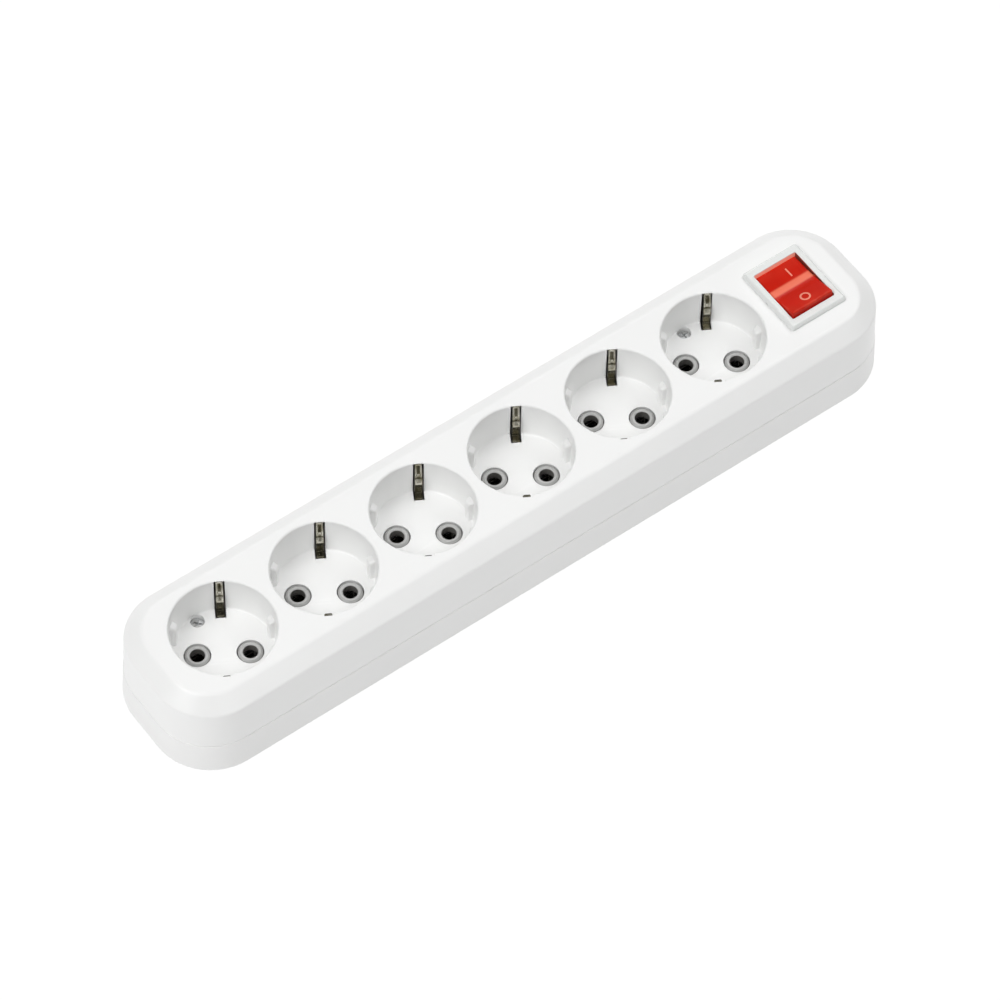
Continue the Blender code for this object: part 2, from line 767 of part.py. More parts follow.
def rocker_outline():
    """Side view of the rocker about its pivot: dished top, ends on an arc, flat skirt."""
    corner = math.hypot(ROCKER_END, ROCKER_END_RISE)
    start = math.atan2(ROCKER_END_RISE, ROCKER_END)
    end = math.atan2(-ROCKER_SKIRT, ROCKER_END)
    side = []
    for step in range(5):
        angle = start + (end - start) * step / 4
        side.append((corner * math.cos(angle), corner * math.sin(angle)))
    rise = (ROCKER_END_RISE - CREASE_RISE) / ROCKER_END
    dish = []
    for step in range(1, 6):
        y = CREASE_ROUND * (1 - step / 3)
        lift = rise * (CREASE_ROUND**2 + y**2) / (2 * CREASE_ROUND)
        dish.append((-y, CREASE_RISE + lift))
    left = [(-y, z) for y, z in reversed(side)]
    return left + dish + side


def rocker_body():
    outline = rocker_outline()
    half_x = ROCKER_X / 2
    body = prism(outline, -half_x, half_x)
    inside_y = ROCKER_END - ROCKER_SHELL - 0.6
    inside = (
        (-inside_y, -ROCKER_SKIRT - CUT),
        (inside_y, -ROCKER_SKIRT - CUT),
        (inside_y, ROCKER_END_RISE - ROCKER_SHELL - 0.5),
        (0.0, CREASE_RISE - ROCKER_SHELL),
        (-inside_y, ROCKER_END_RISE - ROCKER_SHELL - 0.5),
    )
    hollow = prism(inside, -half_x + ROCKER_SHELL, half_x - ROCKER_SHELL)
    guides, bores = [], []
    for pole in (-1, 1):
        centre = (pole * POLE_OFFSET, 0.0)
        top = CREASE_RISE - ROCKER_SHELL / 2
        guides.append(revolve(((GUIDE_RADIUS, -GUIDE_DROP), (GUIDE_RADIUS, top)), 16, centre))
        blind = CREASE_RISE - ROCKER_SHELL
        bores.append(revolve(((GUIDE_BORE, -GUIDE_DROP - CUT), (GUIDE_BORE, blind)), 16, centre))
    trunnions = []
    for hand in (-1, 1):
        stub = revolve(((TRUNNION_RADIUS, 0.0), (TRUNNION_RADIUS, 1.0)), 24)
        low = half_x - 0.1 if hand > 0 else -half_x - 0.9
        trunnions.append(shifted(along_x(stub), x=low))
    return combined(
        body,
        (
            ("DIFFERENCE", hollow),
            ("UNION", gathered(guides)),
            ("DIFFERENCE", gathered(bores)),
            ("UNION", gathered(trunnions)),
        ),
    )


def make_pivot():
    """The rocker's axis. Everything that swings with the rocker hangs from it."""
    pivot = bpy.data.objects.new("rocker_axis", None)
    pivot.location = Vector((SWITCH_X, 0.0, PIVOT_Z)) * MM
    pivot.rotation_euler = (-ROCK_HALF, 0.0, 0.0)
    bpy.context.scene.collection.objects.link(pivot)
    return pivot


def make_plunger(pole, pivot, mat):
    """Pushes on the contact lever. Its head runs in the rocker's guide tube."""
    x = pole * POLE_OFFSET
    profile = (
        (TIP_RADIUS * 0.35, -TIP_DROP),
        (TIP_RADIUS * 0.8, -TIP_DROP + 0.3),
        (TIP_RADIUS, -TIP_DROP + 0.9),
        (PLUNGER_RADIUS, -TIP_DROP + 1.8),
        (PLUNGER_RADIUS, -GUIDE_DROP + 1.6),
        (0.5, -GUIDE_DROP + 1.8),
        (0.5, -GUIDE_DROP + 2.4),
    )
    name = "plunger_%s" % pole_name(pole)
    return finish(name, revolve(profile, 16, (x, 0.0)), mat, parent=pivot)


def make_spring(pole, pivot, mat):
    """The coil above the plunger, about six turns of 0.4 mm wire."""
    low = -GUIDE_DROP + 2.2
    high = CREASE_RISE - ROCKER_SHELL - 0.5
    steps = 42
    turns = 4.5
    points = []
    for step in range(steps + 1):
        angle = 2 * math.pi * turns * step / steps
        x = pole * POLE_OFFSET + 1.05 * math.cos(angle)
        y = 1.05 * math.sin(angle)
        points.append((x, y, low + (high - low) * step / steps))
    name = "plunger_spring_%s" % pole_name(pole)
    return finish(name, tube(points, 0.2, 5), mat, parent=pivot)


def pole_name(pole):
    return "live" if pole < 0 else "neutral"


def make_lever(pole, mat):
    """See-saw contact: its origin is on its own axis, level with the blade's saddle."""
    half = LEVER_LENGTH / 2
    thin = LEVER_THICK / 2
    outline = (
        (-half, -thin),
        (-half, -thin - 0.7),
        (-half + 2.4, -thin - 0.7),
        (-half + 2.4, -thin),
        (half, -thin),
        (half, thin),
        (-half, thin),
    )
    x = SWITCH_X + pole * POLE_OFFSET
    arm = prism(outline, x - LEVER_WIDTH / 2, x + LEVER_WIDTH / 2)
    arm = shifted(arm, z=LEVER_Z)
    name = "contact_lever_%s" % pole_name(pole)
    lever = finish(name, arm, mat, origin=(x, 0.0, LEVER_Z), smooth=False)
    lever.rotation_euler = (ROCK_HALF, 0.0, 0.0)
    return lever


def make_supply_blade(pole, mat):
    thin = BLADE_THICK / 2
    outline = (
        (-thin, BLADE_BOTTOM + 1.0),
        (0.0, BLADE_BOTTOM),
        (thin, BLADE_BOTTOM + 1.0),
        (thin, SUPPLY_TOP - 1.0),
        (1.0, SUPPLY_TOP - 0.7),
        (0.3, SUPPLY_TOP),
        (-0.3, SUPPLY_TOP),
        (-1.0, SUPPLY_TOP - 0.7),
        (-thin, SUPPLY_TOP - 1.0),
    )
    x = SWITCH_X + pole * POLE_OFFSET
    blade = prism(outline, x - BLADE_WIDTH / 2, x + BLADE_WIDTH / 2)
    name = "supply_blade_%s" % pole_name(pole)
    return finish(name, blade, mat, origin=(x, 0.0, CAVITY_BOTTOM), smooth=False)


def contact_height():
    """Top of the fixed contact, under the lever's lowered end."""
    reach = LEVER_LENGTH / 2
    under = LEVER_THICK / 2 + 0.7
    return LEVER_Z - reach * math.sin(ROCK_HALF) - under * math.cos(ROCK_HALF) - FIT


def make_load_blade(pole, mat):
    thin = BLADE_THICK / 2
    plate = CAVITY_BOTTOM + FIT
    y = LOAD_BLADE_Y
    outline = (
        (y - thin, BLADE_BOTTOM + 1.0),
        (y, BLADE_BOTTOM),
        (y + thin, BLADE_BOTTOM + 1.0),
        (y + thin, plate),
        (y + 2.2, plate),
        (y + 2.2, plate + 0.8),
        (y + 1.6, plate + 0.8),
        (y + 1.3, contact_height()),
        (y - 0.9, contact_height()),
        (y - 1.2, plate + 0.8),
        (y - 1.8, plate + 0.8),
        (y - 1.8, plate),
        (y - thin, plate),
    )
    x = SWITCH_X + pole * POLE_OFFSET
    blade = prism(outline, x - BLADE_WIDTH / 2, x + BLADE_WIDTH / 2)
    name = "load_blade_%s" % pole_name(pole)
    return finish(name, blade, mat, origin=(x, y, CAVITY_BOTTOM), smooth=False)


def lamp_height():
    return PIVOT_Z - 7.6


def make_lamp(glass, ceramic):
    profile = ((0.4, -6.2), (1.5, -5.2), (2.2, -4.4), (2.2, 4.0), (1.6, 5.2), (0.5, 6.2))
    tube_shape = along_x(revolve(profile, 14))
    place = (SWITCH_X, 6.5, lamp_height())
    finish("neon_lamp", shifted(tube_shape, *place), glass, origin=place)
    profile = ((0.3, -5.4), (0.3, -3.2), (0.95, -3.0), (0.95, 3.0), (0.3, 3.2), (0.3, 5.4))
    place = (SWITCH_X, 10.4, CAVITY_BOTTOM + FIT + 0.95)
    body = along_x(revolve(profile, 10))
    finish("lamp_resistor", shifted(body, *place), ceramic, origin=place)


# =============================================================== wires, cord
def make_lead(name, pole, path, mat):
    """A switched lead: a push-on sleeve round the load blade, then wire to its rail."""
    x = SWITCH_X + pole * POLE_OFFSET
    y = LOAD_BLADE_Y
    wide = BLADE_WIDTH / 2 + FIT
    thin = BLADE_THICK / 2 + FIT
    shell = 0.7
    low = BLADE_BOTTOM - FIT - shell
    high_corner = (x + wide + shell, y + thin + shell, low + 7.0)
    sleeve = box((x - wide - shell, y - thin - shell, low), high_corner)
    pocket = box((x - wide, y - thin, low + shell), (x + wide, y + thin, low + 9.0))
    start = [(x, y, low + shell / 2)]
    wire = tube(smoothed(start + list(path)), LEAD_RADIUS, 8)
    lead = combined(sleeve, (("DIFFERENCE", pocket), ("UNION", wire)))
    return finish(name, lead, mat)


def make_leads(brown, blue):
    up = RAIL_HEIGHT + RAIL_TALL / 2
    beside = RAIL_Y + RAIL_THICK / 2 + FIT + LEAD_RADIUS
    x = SWITCH_X - POLE_OFFSET
    path = (
        (x, LOAD_BLADE_Y, 5.6),
        (x - 2.0, -3.0, 4.6),
        (x - 3.8, 2.0, 4.8),
        (x - 6.3, 7.5, 6.4),
        (x - 11.3, beside, up - 2.0),
        (RAIL_END_X, beside, up),
        (RAIL_END_X - 4.0, beside, up),
    )
    make_lead("lead_switched_live", -1, path, brown)
    x = SWITCH_X + POLE_OFFSET
    path = (
        (x, LOAD_BLADE_Y - 0.6, 5.4),
        (x - 4.0, -13.0, 4.8),
        (x - 14.0, -14.4, 5.0),
        (x - 20.0, -10.5, 9.0),
        (RAIL_END_X + 2.0, -beside, up),
        (RAIL_END_X - 4.0, -beside, up),
    )
    make_lead("lead_switched_neutral", 1, path, blue)


def make_inlet(mat):
    """The bush that lines the cord's way in, held by a flange inside the wall."""
    wall_inner = HALF_LENGTH - WALL - draft_at(PARTING_HEIGHT)
    flange_far = wall_inner - FIT - draft_at(PARTING_HEIGHT)
    profile = (
        (INLET_BORE + 0.6, HALF_LENGTH - 0.1),
        (INLET_BORE, HALF_LENGTH - 0.8),
        (INLET_BORE, flange_far - 1.6),
        (INLET_RADIUS + 1.8, flange_far - 1.6),
        (INLET_RADIUS + 1.8, flange_far),
        (INLET_RADIUS, flange_far),
        (INLET_RADIUS, HALF_LENGTH - 0.1),
    )
    ring = along_x(revolve(profile, 24, closed=True))
    place = (HALF_LENGTH, 0.0, PARTING_HEIGHT)
    finish("inlet_bush", shifted(ring, z=PARTING_HEIGHT), mat, origin=place)


def make_clamp(plastic, steel):
    low = clamp_bottom()
    half = CLAMP_SPAN + POST_RADIUS
    outline = (
        (-half, low),
        (-4.0, low),
        (-2.0, low + 0.8),
        (2.0, low + 0.8),
        (4.0, low),
        (half, low),
        (half, low + 2.6),
        (-half, low + 2.6),
    )
    bar = prism(outline, CLAMP_X - 3.2, CLAMP_X + 3.2)
    holes = []
    for side in (1, -1):
        profile = ((SCREW_SHAFT + FIT, low - CUT), (SCREW_SHAFT + FIT, low + 4.0))
        holes.append(revolve(profile, SCREW_STEPS, (CLAMP_X, side * CLAMP_SPAN)))
    bar = combined(bar, (("DIFFERENCE", gathered(holes)),))
    finish("cord_clamp", bar, plastic, origin=(CLAMP_X, 0.0, low), smooth=False)
    for index, side in enumerate((1, -1)):
        seat = low + 2.6 + FIT
        name = "clamp_screw_%d" % (index + 1)
        make_screw(name, (CLAMP_X, side * CLAMP_SPAN), seat, 10.0, SCREW_SHAFT, SCREW_HEAD, steel)


# ===================================================================== build
def make_sockets(grey, brass, nickel):
    for index in range(SOCKET_COUNT):
        for side, line in ((1, "live"), (-1, "neutral")):
            x, y = pin_place(index, side)
            make_bush("pin_bush_%d_%s" % (index + 1, line), x, y, grey)
        make_earth_clip(index, nickel)
    make_rail("live_rail", 1, brass)
    make_rail("neutral_rail", -1, brass)
    make_earth_rail(nickel)


def make_switch(white, red, brass, steel, glass, ceramic):
    make_housing(white)
    pivot = make_pivot()
    finish("rocker", rocker_body(), red, parent=pivot)
    for pole in (-1, 1):
        make_plunger(pole, pivot, ceramic)
        make_spring(pole, pivot, steel)
        make_lever(pole, brass)
        make_supply_blade(pole, brass)
        make_load_blade(pole, brass)
    make_lamp(glass, ceramic)


def main():
    clear_scene()
    white = material("white_plastic", (0.86, 0.86, 0.85), 0.35)
    base_white = material("base_plastic", (0.84, 0.84, 0.83), 0.42)
    bezel_white = material("switch_plastic", (0.84, 0.86, 0.85), 0.3)
    grey = material("grey_plastic", (0.38, 0.38, 0.37), 0.45)
    red = material("red_plastic", (0.62, 0.03, 0.01), 0.22)
    black = material("black_rubber", (0.03, 0.03, 0.03), 0.7)
    brass = material("brass", (0.72, 0.5, 0.2), 0.35, 1.0)
    nickel = material("nickel_plate", (0.55, 0.52, 0.45), 0.3, 1.0)
    steel = material("zinc_steel", (0.6, 0.6, 0.6), 0.3, 1.0)
    glass = material("lamp_glass", (0.9, 0.5, 0.3), 0.1)
    ceramic = material("cream_part", (0.75, 0.68, 0.52), 0.5)
    brown = material("brown_insulation", (0.2, 0.09, 0.04), 0.5)
    blue = material("blue_insulation", (0.03, 0.12, 0.45), 0.5)
    make_cover(white)
    make_base(base_white)
    make_sockets(grey, brass, nickel)
    make_earth_terminal(brass, steel)
    make_switch(bezel_white, red, brass, steel, glass, ceramic)
    make_leads(brown, blue)
    make_inlet(black)
    make_clamp(grey, steel)
    seat = FLOOR_TOP - SCREW_HEAD_TALL - FIT + 0.2
    for index in (0, SOCKET_COUNT - 1):
        name = "cover_screw_%d" % (index + 1)
        make_screw(name, (socket_x(index), SCREW_OFFSET), seat, 13.0, SCREW_SHAFT, SCREW_HEAD, steel)


main()
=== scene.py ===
"""Looks of a six-way socket block with a rocker switch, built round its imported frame.

The builders measure in millimetres along the frame's own axes: X towards the switch end,
+Y towards the side that is pressed to switch on, Z up from the underside. A finished mesh
is stored in metres and rides on the body that carries it.
"""

import json
import math
import random

import bmesh
import bpy
from bpy.props import FloatProperty, FloatVectorProperty, IntProperty, PointerProperty
from mathutils import Matrix, Vector


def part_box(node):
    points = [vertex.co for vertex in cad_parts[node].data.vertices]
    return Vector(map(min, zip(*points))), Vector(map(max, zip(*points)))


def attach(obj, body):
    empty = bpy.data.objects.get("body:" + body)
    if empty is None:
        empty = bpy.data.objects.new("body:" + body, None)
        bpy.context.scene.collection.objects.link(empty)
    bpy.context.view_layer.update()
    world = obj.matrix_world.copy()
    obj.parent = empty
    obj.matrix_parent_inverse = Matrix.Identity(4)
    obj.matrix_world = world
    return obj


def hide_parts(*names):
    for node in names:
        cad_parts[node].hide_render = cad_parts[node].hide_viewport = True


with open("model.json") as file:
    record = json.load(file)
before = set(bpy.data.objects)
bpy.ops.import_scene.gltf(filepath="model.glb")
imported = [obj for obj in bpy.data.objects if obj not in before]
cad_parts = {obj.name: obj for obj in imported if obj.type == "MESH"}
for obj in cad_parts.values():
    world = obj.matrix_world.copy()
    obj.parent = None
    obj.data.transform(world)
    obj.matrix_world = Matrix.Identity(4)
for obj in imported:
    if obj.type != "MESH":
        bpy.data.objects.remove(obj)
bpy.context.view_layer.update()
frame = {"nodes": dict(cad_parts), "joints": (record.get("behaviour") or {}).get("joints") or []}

bl_info = {
    "name": "Socket Block Looks",
    "version": (1, 0, 0),
    "blender": (4, 5, 0),
    "location": "3D View > Sidebar > Socket Block",
    "description": "Builds the detailed pieces, finishes and stage of a socket block",
    "category": "Object",
}

MM = 0.001


# ================================================================ frame readings
def node_box(node):
    """Lowest and highest corner of a frame node, in millimetres."""
    low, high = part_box(node)
    return low / MM, high / MM


def joint(name):
    return next(item for item in frame["joints"] if item["name"] == name)


def bush_centre(index, line):
    low, high = node_box("pin_bush_%d_%s" % (index, line))
    return (low + high) / 2


def socket_centre(index):
    middle = (bush_centre(index, "live") + bush_centre(index, "neutral")) / 2
    return middle.x, middle.y


COVER_LOW, COVER_HIGH = node_box("top_cover")
BASE_LOW, BASE_HIGH = node_box("base_tray")
HOUSING_LOW, HOUSING_HIGH = node_box("switch_housing")
BUSH_FOOT = node_box("pin_bush_1_live")[0].z
SOCKETS = range(1, 7)
LINES = ("live", "neutral")
PARTING = (COVER_LOW.z + BASE_HIGH.z) / 2
TOP = COVER_HIGH.z
HALF_LENGTH = (BASE_HIGH.x - BASE_LOW.x) / 2
HALF_WIDTH = (BASE_HIGH.y - BASE_LOW.y) / 2
SWITCH_X = (HOUSING_LOW.x + HOUSING_HIGH.x) / 2
BEZEL_TOP = HOUSING_HIGH.z
PIVOT = Vector(joint("rocker_hinge")["pos_m"]) / MM
REST_TILT = -math.radians(sum(joint("rocker_hinge")["range_deg"]) / 2)
PIN_LINE = bush_centre(1, "neutral") - bush_centre(1, "live")
SOCKET_TURN = math.atan2(PIN_LINE.y, PIN_LINE.x)
CLIP_TURN = SOCKET_TURN + math.pi / 2
SCREWED = (1, 6)

# Details in millimetres.
PAST = 1.0  # how far a cutting shape runs past the face that it opens
BUSH_OUTER = 4.58
BUSH_FLANGE = 5.7
FLANGE_THICK = 0.9
HOLE_FLARE = 0.9
SCREW_HEAD = 1.2
SCREW_SHAFT = 1.45
SHAFT_HOLE = 1.75
COVER_SCREW_RADIUS = 2.45
INLET_RADIUS = 6.5
SKIRT_X, SKIRT_Y = 1.1, 1.8
STUB_RADIUS = 1.0
STUB_GAP = 0.1
PLUNGER_SIDE = 4.8
CLIP_GRAIN = 0.3
# Painted shade: heights of the dark bands across each clip arm, which stand in for dark
# reflections.
CLIP_DARK_BANDS = ((-1.0, 1.3), (4.6, 6.6), (9.0, 9.9))  # heights above a recess's floor


# ==================================================================== settings
def length(name, text, value, low=0.0):
    """A size in metres whose default is given in millimetres."""
    return FloatProperty(
        name=name, description=text, default=value * MM, min=low, unit="LENGTH", precision=5
    )


def colour(name, text, value):
    return FloatVectorProperty(
        name=name, description=text, default=value, size=3, subtype="COLOR", min=0.0, max=1.0
    )


def share(name, text, value, high=1.0):
    return FloatProperty(name=name, description=text, default=value, min=0.0, max=high)


class ShellSettings(bpy.types.PropertyGroup):
    """Sizes and colours of the two mouldings."""

    corner: length("Corner radius", "Radius of the block's corners at the underside", 23.2)
    draft: length("Side draft", "How far the sides lean in up to the bevel", 1.6)
    bevel_run: length("Bevel run", "Width of the bevel seen from above", 6.6)
    bevel_rise: length("Bevel rise", "Height of the bevel", 5.4)
    bevel_foot: length("Bevel foot round", "Radius between the side and the bevel", 1.7)
    bevel_head: length("Bevel head round", "Radius between the bevel and the top", 3.4)
    wall: length("Wall", "Wall thickness of the mouldings", 2.2)
    lip: length("Parting lip", "Width of the chamfer along the parting line", 0.35)
    lip_step: length("Parting step", "How far the base stands out from the cover", 0.18)
    steps: IntProperty(name="Corner steps", description="Steps in each corner", default=22, min=4)
    white: colour("Cover white", "Colour of the cover", (0.945, 0.947, 0.94))
    base_white: colour("Base white", "Colour of the base", (0.935, 0.935, 0.928))


class SocketSettings(bpy.types.PropertyGroup):
    """Sizes and colours inside the recesses."""

    radius: length("Recess radius", "Radius of a recess at its top", 19.5)
    depth: length("Recess depth", "Depth of a recess", 17.2)
    taper: length("Recess taper", "How much narrower the recess is at its floor", 0.3)
    floor_round: length("Floor round", "Radius between a recess's wall and its floor", 0.8)
    rim: length("Rim round", "Radius of a recess's rim", 0.8)
    floor: length("Floor thickness", "Thickness of a recess's floor", 2.4)
    skin: length("Recess wall", "Thickness of a recess's wall", 1.9)
    rib_width: length("Rib width", "Width of a guide rib", 4.0)
    rib_depth: length("Rib depth", "How far a guide rib stands out", 2.2)
    rib_drop: length("Rib drop", "How far a guide rib's top lies below the rim", 5.6)
    rib_spread: FloatProperty(
        name="Rib spread",
        description="Angle from the pin line to a guide rib",
        default=math.radians(20.0),
        subtype="ANGLE",
    )
    slot_width: length("Slot width", "Width of the opening for an earth clip", 4.0)
    slot_inner: length("Slot start", "Distance from the recess's centre to the slot", 15.1)
    slot_drop: length("Slot drop", "How far the slot's top lies below the rim", 0.3)
    notch_width: length("Notch width", "Width of the near slot, which opens through the rim", 4.4)
    notch_reach: length("Notch reach", "How far the near slot reaches past the recess wall", 1.15)
    clip_width: length("Clip width", "Width of an earth clip's arm", 3.1)
    clip_thick: length("Clip thickness", "Thickness of an earth clip's strip", 0.6)
    clip_bead: length("Clip bead", "Height of the pressed rim round an earth clip's tip", 0.34)
    bush_gap: length("Bush gap", "Gap round each pin bush", 0.4)
    bush_rise: length("Bush rise", "Height of a pin bush above the floor", 0.05)
    bush_bore: length("Bush bore", "Radius of a pin bush's bore", 2.75)
    screw_sink: length("Screw sink", "Depth of a cover screw's head below the floor", 1.5)
    screw_bore: length("Screw bore", "Radius of the hole over a cover screw", 2.65)
    bush_grey: colour("Bush grey", "Colour of the pin bushes", (0.56, 0.56, 0.55))


class SwitchSettings(bpy.types.PropertyGroup):
    """Sizes and colours of the rocker switch."""

    window_x: length("Window length", "Length of the bezel's window along X", 19.4)
    window_y: length("Window width", "Width of the bezel's window along Y", 23.9)
    bezel_round: length("Bezel round", "Radius of the bezel's upper edges", 0.7)
    rocker_x: length("Rocker length", "Length of the rocker along its axle", 18.8)
    rocker_end: length("Rocker reach", "Distance from the axle to the rocker's ends", 11.45)
    end_rise: length("End rise", "Height of the rocker's ends above its axle", 2.6)
    crease_rise: length("Crease rise", "Height of the rocker's middle above its axle", 1.3)
    crease_half: length("Crease half width", "Half the width of the curve between its faces", 4.0)
    red: colour("Rocker red", "Colour of the translucent rocker", (0.62, 0.012, 0.002))
    # The crease colour is a painted highlight laid along the rocker's crease and its edges.
    crease: colour("Crease highlight red", "Colour of the rocker's thin middle and edges", (0.86, 0.16, 0.08))
    mark: colour("Mark colour", "Colour of the on and off marks", (0.9, 0.3, 0.2))
    bezel: colour("Bezel white", "Colour of the switch housing", (0.85, 0.865, 0.85))


class StageSettings(bpy.types.PropertyGroup):
    """Camera, lights and floor."""

    azimuth: FloatProperty(name="Azimuth", description="Camera turn", default=-0.653497)
    elevation: FloatProperty(name="Elevation", description="Camera height", default=0.979033)
    roll: FloatProperty(name="Roll", description="Camera roll", default=0.02835)
    distance: FloatProperty(name="Distance", description="To the target", default=2.096024)
    lens: FloatProperty(name="Lens", description="Focal length in mm", default=206.994)
    target: FloatVectorProperty(
        name="Target", description="Point looked at", default=(-0.005312, -0.002991, 0.02), size=3
    )
    floor_colour: colour("Floor", "Colour of the floor", (0.14, 0.14, 0.14))
    floor_lift: share("Floor lift", "Glow that keeps the floor pale under the block", 0.9)


# ==================================================================== geometry
def rounded_ring(half_x, half_y, radius, z, centre=(0.0, 0.0), steps=12):
    """A rounded rectangle at height z, anticlockwise seen from above."""
    ring = []
    radius = max(radius, 0.01)
    for index, (sx, sy) in enumerate(((1, 1), (-1, 1), (-1, -1), (1, -1))):
        cx = centre[0] + sx * (half_x - radius)
        cy = centre[1] + sy * (half_y - radius)
        for step in range(steps + 1):
            angle = (index + step / steps) * math.pi / 2
            ring.append(Vector((cx + radius * math.cos(angle), cy + radius * math.sin(angle), z)))
    return ring


def circle(radius, z, steps, centre=(0.0, 0.0)):
    x, y = centre
    angles = [2 * math.pi / steps * i for i in range(steps)]
    return [Vector((x + radius * math.cos(a), y + radius * math.sin(a), z)) for a in angles]


def loft(rings, closed=False):
    """Joins rings of equal length in order, and caps the ends unless closed."""
    bm = bmesh.new()
    rows = [[bm.verts.new(point) for point in ring] for ring in rings]
    pairs = list(zip(rows, rows[1:]))
    if closed:
        pairs.append((rows[-1], rows[0]))
    count = len(rows[0])
    for low, high in pairs:
        for i in range(count):
            j = (i + 1) % count
            bm.faces.new((low[i], low[j], high[j], high[i]))
    if not closed:
        bm.faces.new(tuple(reversed(rows[0])))
        bm.faces.new(tuple(rows[-1]))
    bmesh.ops.recalc_face_normals(bm, faces=bm.faces)
    return bm


def revolve(profile, steps, centre=(0.0, 0.0), closed=False):
    """Turns a profile of (radius, height) points about a vertical axis."""
    return loft([circle(r, z, steps, centre) for r, z in profile], closed)


def prism(outline, low, high):
    """Extrudes an outline of (y, z) points along X from low to high."""
    return loft([[Vector((x, y, z)) for y, z in outline] for x in (low, high)])


def box(low, high):
    outline = ((low[1], low[2]), (high[1], low[2]), (high[1], high[2]), (low[1], high[2]))
    return prism(outline, low[0], high[0])


def placed(bm, matrix):
    bmesh.ops.transform(bm, matrix=matrix, verts=bm.verts)
    return bm


def shifted(bm, x=0.0, y=0.0, z=0.0):
    return placed(bm, Matrix.Translation((x, y, z)))


def turned(bm, angle, axis="Z"):
    return placed(bm, Matrix.Rotation(angle, 4, axis))


def gathered(shapes):
    """Several closed shapes as one mesh."""
    merged = bmesh.new()
    for bm in shapes:
        mesh = bpy.data.meshes.new("shape")
        bm.to_mesh(mesh)
        bm.free()
        merged.from_mesh(mesh)
        bpy.data.meshes.remove(mesh)
    return merged


def filleted(points, radii, steps=5):
    """A path of 2-D points with its inner corners rounded to the given radii."""
    points = [Vector(point) for point in points]
    path = [points[0]]
    for before, here, after, radius in zip(points, points[1:], points[2:], radii):
        back, ahead = (before - here).normalized(), (after - here).normalized()
        half = back.angle(ahead) / 2
        if radius <= 0 or half > math.radians(89.5):
            path.append(here)
            continue
        shorter = min((before - here).length, (after - here).length)
        reach = min(radius / math.tan(half), 0.49 * shorter)
        radius = reach * math.tan(half)
        centre = here + (back + ahead).normalized() * (radius / math.sin(half))
        start = here + back * reach - centre
        end = here + ahead * reach - centre
        sweep = start.angle_signed(end)
        for step in range(steps + 1):
            angle = -sweep * step / steps
            path.append(centre + Matrix.Rotation(angle, 2) @ start)
    path.append(points[-1])
    return path


def plain_object(name, bm):
    mesh = bpy.data.meshes.new(name)
    bm.to_mesh(mesh)
    bm.free()
    obj = bpy.data.objects.new(name, mesh)
    bpy.context.scene.collection.objects.link(obj)
    return obj


def baked_mesh(obj):
    """The object's mesh with its modifiers applied; the object goes."""
    graph = bpy.context.evaluated_depsgraph_get()
    mesh = bpy.data.meshes.new_from_object(obj.evaluated_get(graph))
    result = bmesh.new()
    result.from_mesh(mesh)
    bpy.data.objects.remove(obj, do_unlink=True)
    bpy.data.meshes.remove(mesh)
    return result


def carved(bm, steps):
    """Applies (operation, shape) steps to a shape."""
    for operation, shape in steps:
        target = plain_object("target", bm)
        cutter = plain_object("cutter", shape)
        modifier = target.modifiers.new("solid", "BOOLEAN")
        modifier.operation = operation
        modifier.solver = "EXACT"
        modifier.object = cutter
        bm = baked_mesh(target)
        bpy.data.objects.remove(cutter, do_unlink=True)
        if not bm.faces:
            raise RuntimeError("a cut left nothing of the shape")
    bmesh.ops.remove_doubles(bm, verts=bm.verts, dist=1e-4)
    return bm


def eased(bm, width, segments=2, angle=35.0):
    """Rounds the sharp edges of a shape."""
    target = plain_object("target", bm)
    modifier = target.modifiers.new("edges", "BEVEL")
    modifier.width = width
    modifier.segments = segments
    modifier.limit_method = "ANGLE"
    modifier.angle_limit = math.radians(angle)
    modifier.use_clamp_overlap = True
    return baked_mesh(target)


def finished(name, bm, mats, body, nodes=(), sharp=32.0):
    """Makes a millimetre mesh into a smooth-shaded piece in metres that rides on a body."""
    bmesh.ops.scale(bm, vec=(MM, MM, MM), verts=bm.verts)
    bmesh.ops.recalc_face_normals(bm, faces=bm.faces)
    obj = plain_object(name, bm)
    obj.data.shade_smooth()
    obj.data.set_sharp_from_angle(angle=math.radians(sharp))
    for mat in mats if isinstance(mats, (list, tuple)) else [mats]:
        obj.data.materials.append(mat)
    weighted = obj.modifiers.new("flat faces", "WEIGHTED_NORMAL")
    weighted.keep_sharp = True
    weighted.weight = 80
    if nodes:
        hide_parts(*nodes)
    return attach(obj, body)


# ================================================================= node groups
def group_sockets(tree, inputs, outputs):
    for name, kind, value in inputs:
        item = tree.interface.new_socket(name=name, in_out="INPUT", socket_type=kind)
        item.default_value = value
    for name, kind in outputs:
        tree.interface.new_socket(name=name, in_out="OUTPUT", socket_type=kind)
    return tree.nodes.new("NodeGroupInput"), tree.nodes.new("NodeGroupOutput")


def add(tree, kind, links=None, **values):
    """A node with its settings; links maps input names or numbers to sockets or values."""
    node = tree.nodes.new(kind)
    for name, value in values.items():
        setattr(node, name, value)
    for key, value in (links or {}).items():
        if isinstance(value, bpy.types.NodeSocket):
            tree.links.new(value, node.inputs[key])
        else:
            node.inputs[key].default_value = value
    return node


def mixed(tree, factor, first, second):
    node = tree.nodes.new("ShaderNodeMix")
    node.data_type = "RGBA"
    for key, value in ((0, factor), (6, first), (7, second)):
        if isinstance(value, bpy.types.NodeSocket):
            tree.links.new(value, node.inputs[key])
        else:
            node.inputs[key].default_value = value
    return node.outputs[2]


def ranged(tree, value, low, high, to_low, to_high):
    """Maps a varying value from one range to another."""
    links = {"Value": value, "From Min": low, "From Max": high, "To Min": to_low, "To Max": to_high}
    return add(tree, "ShaderNodeMapRange", links).outputs["Result"]


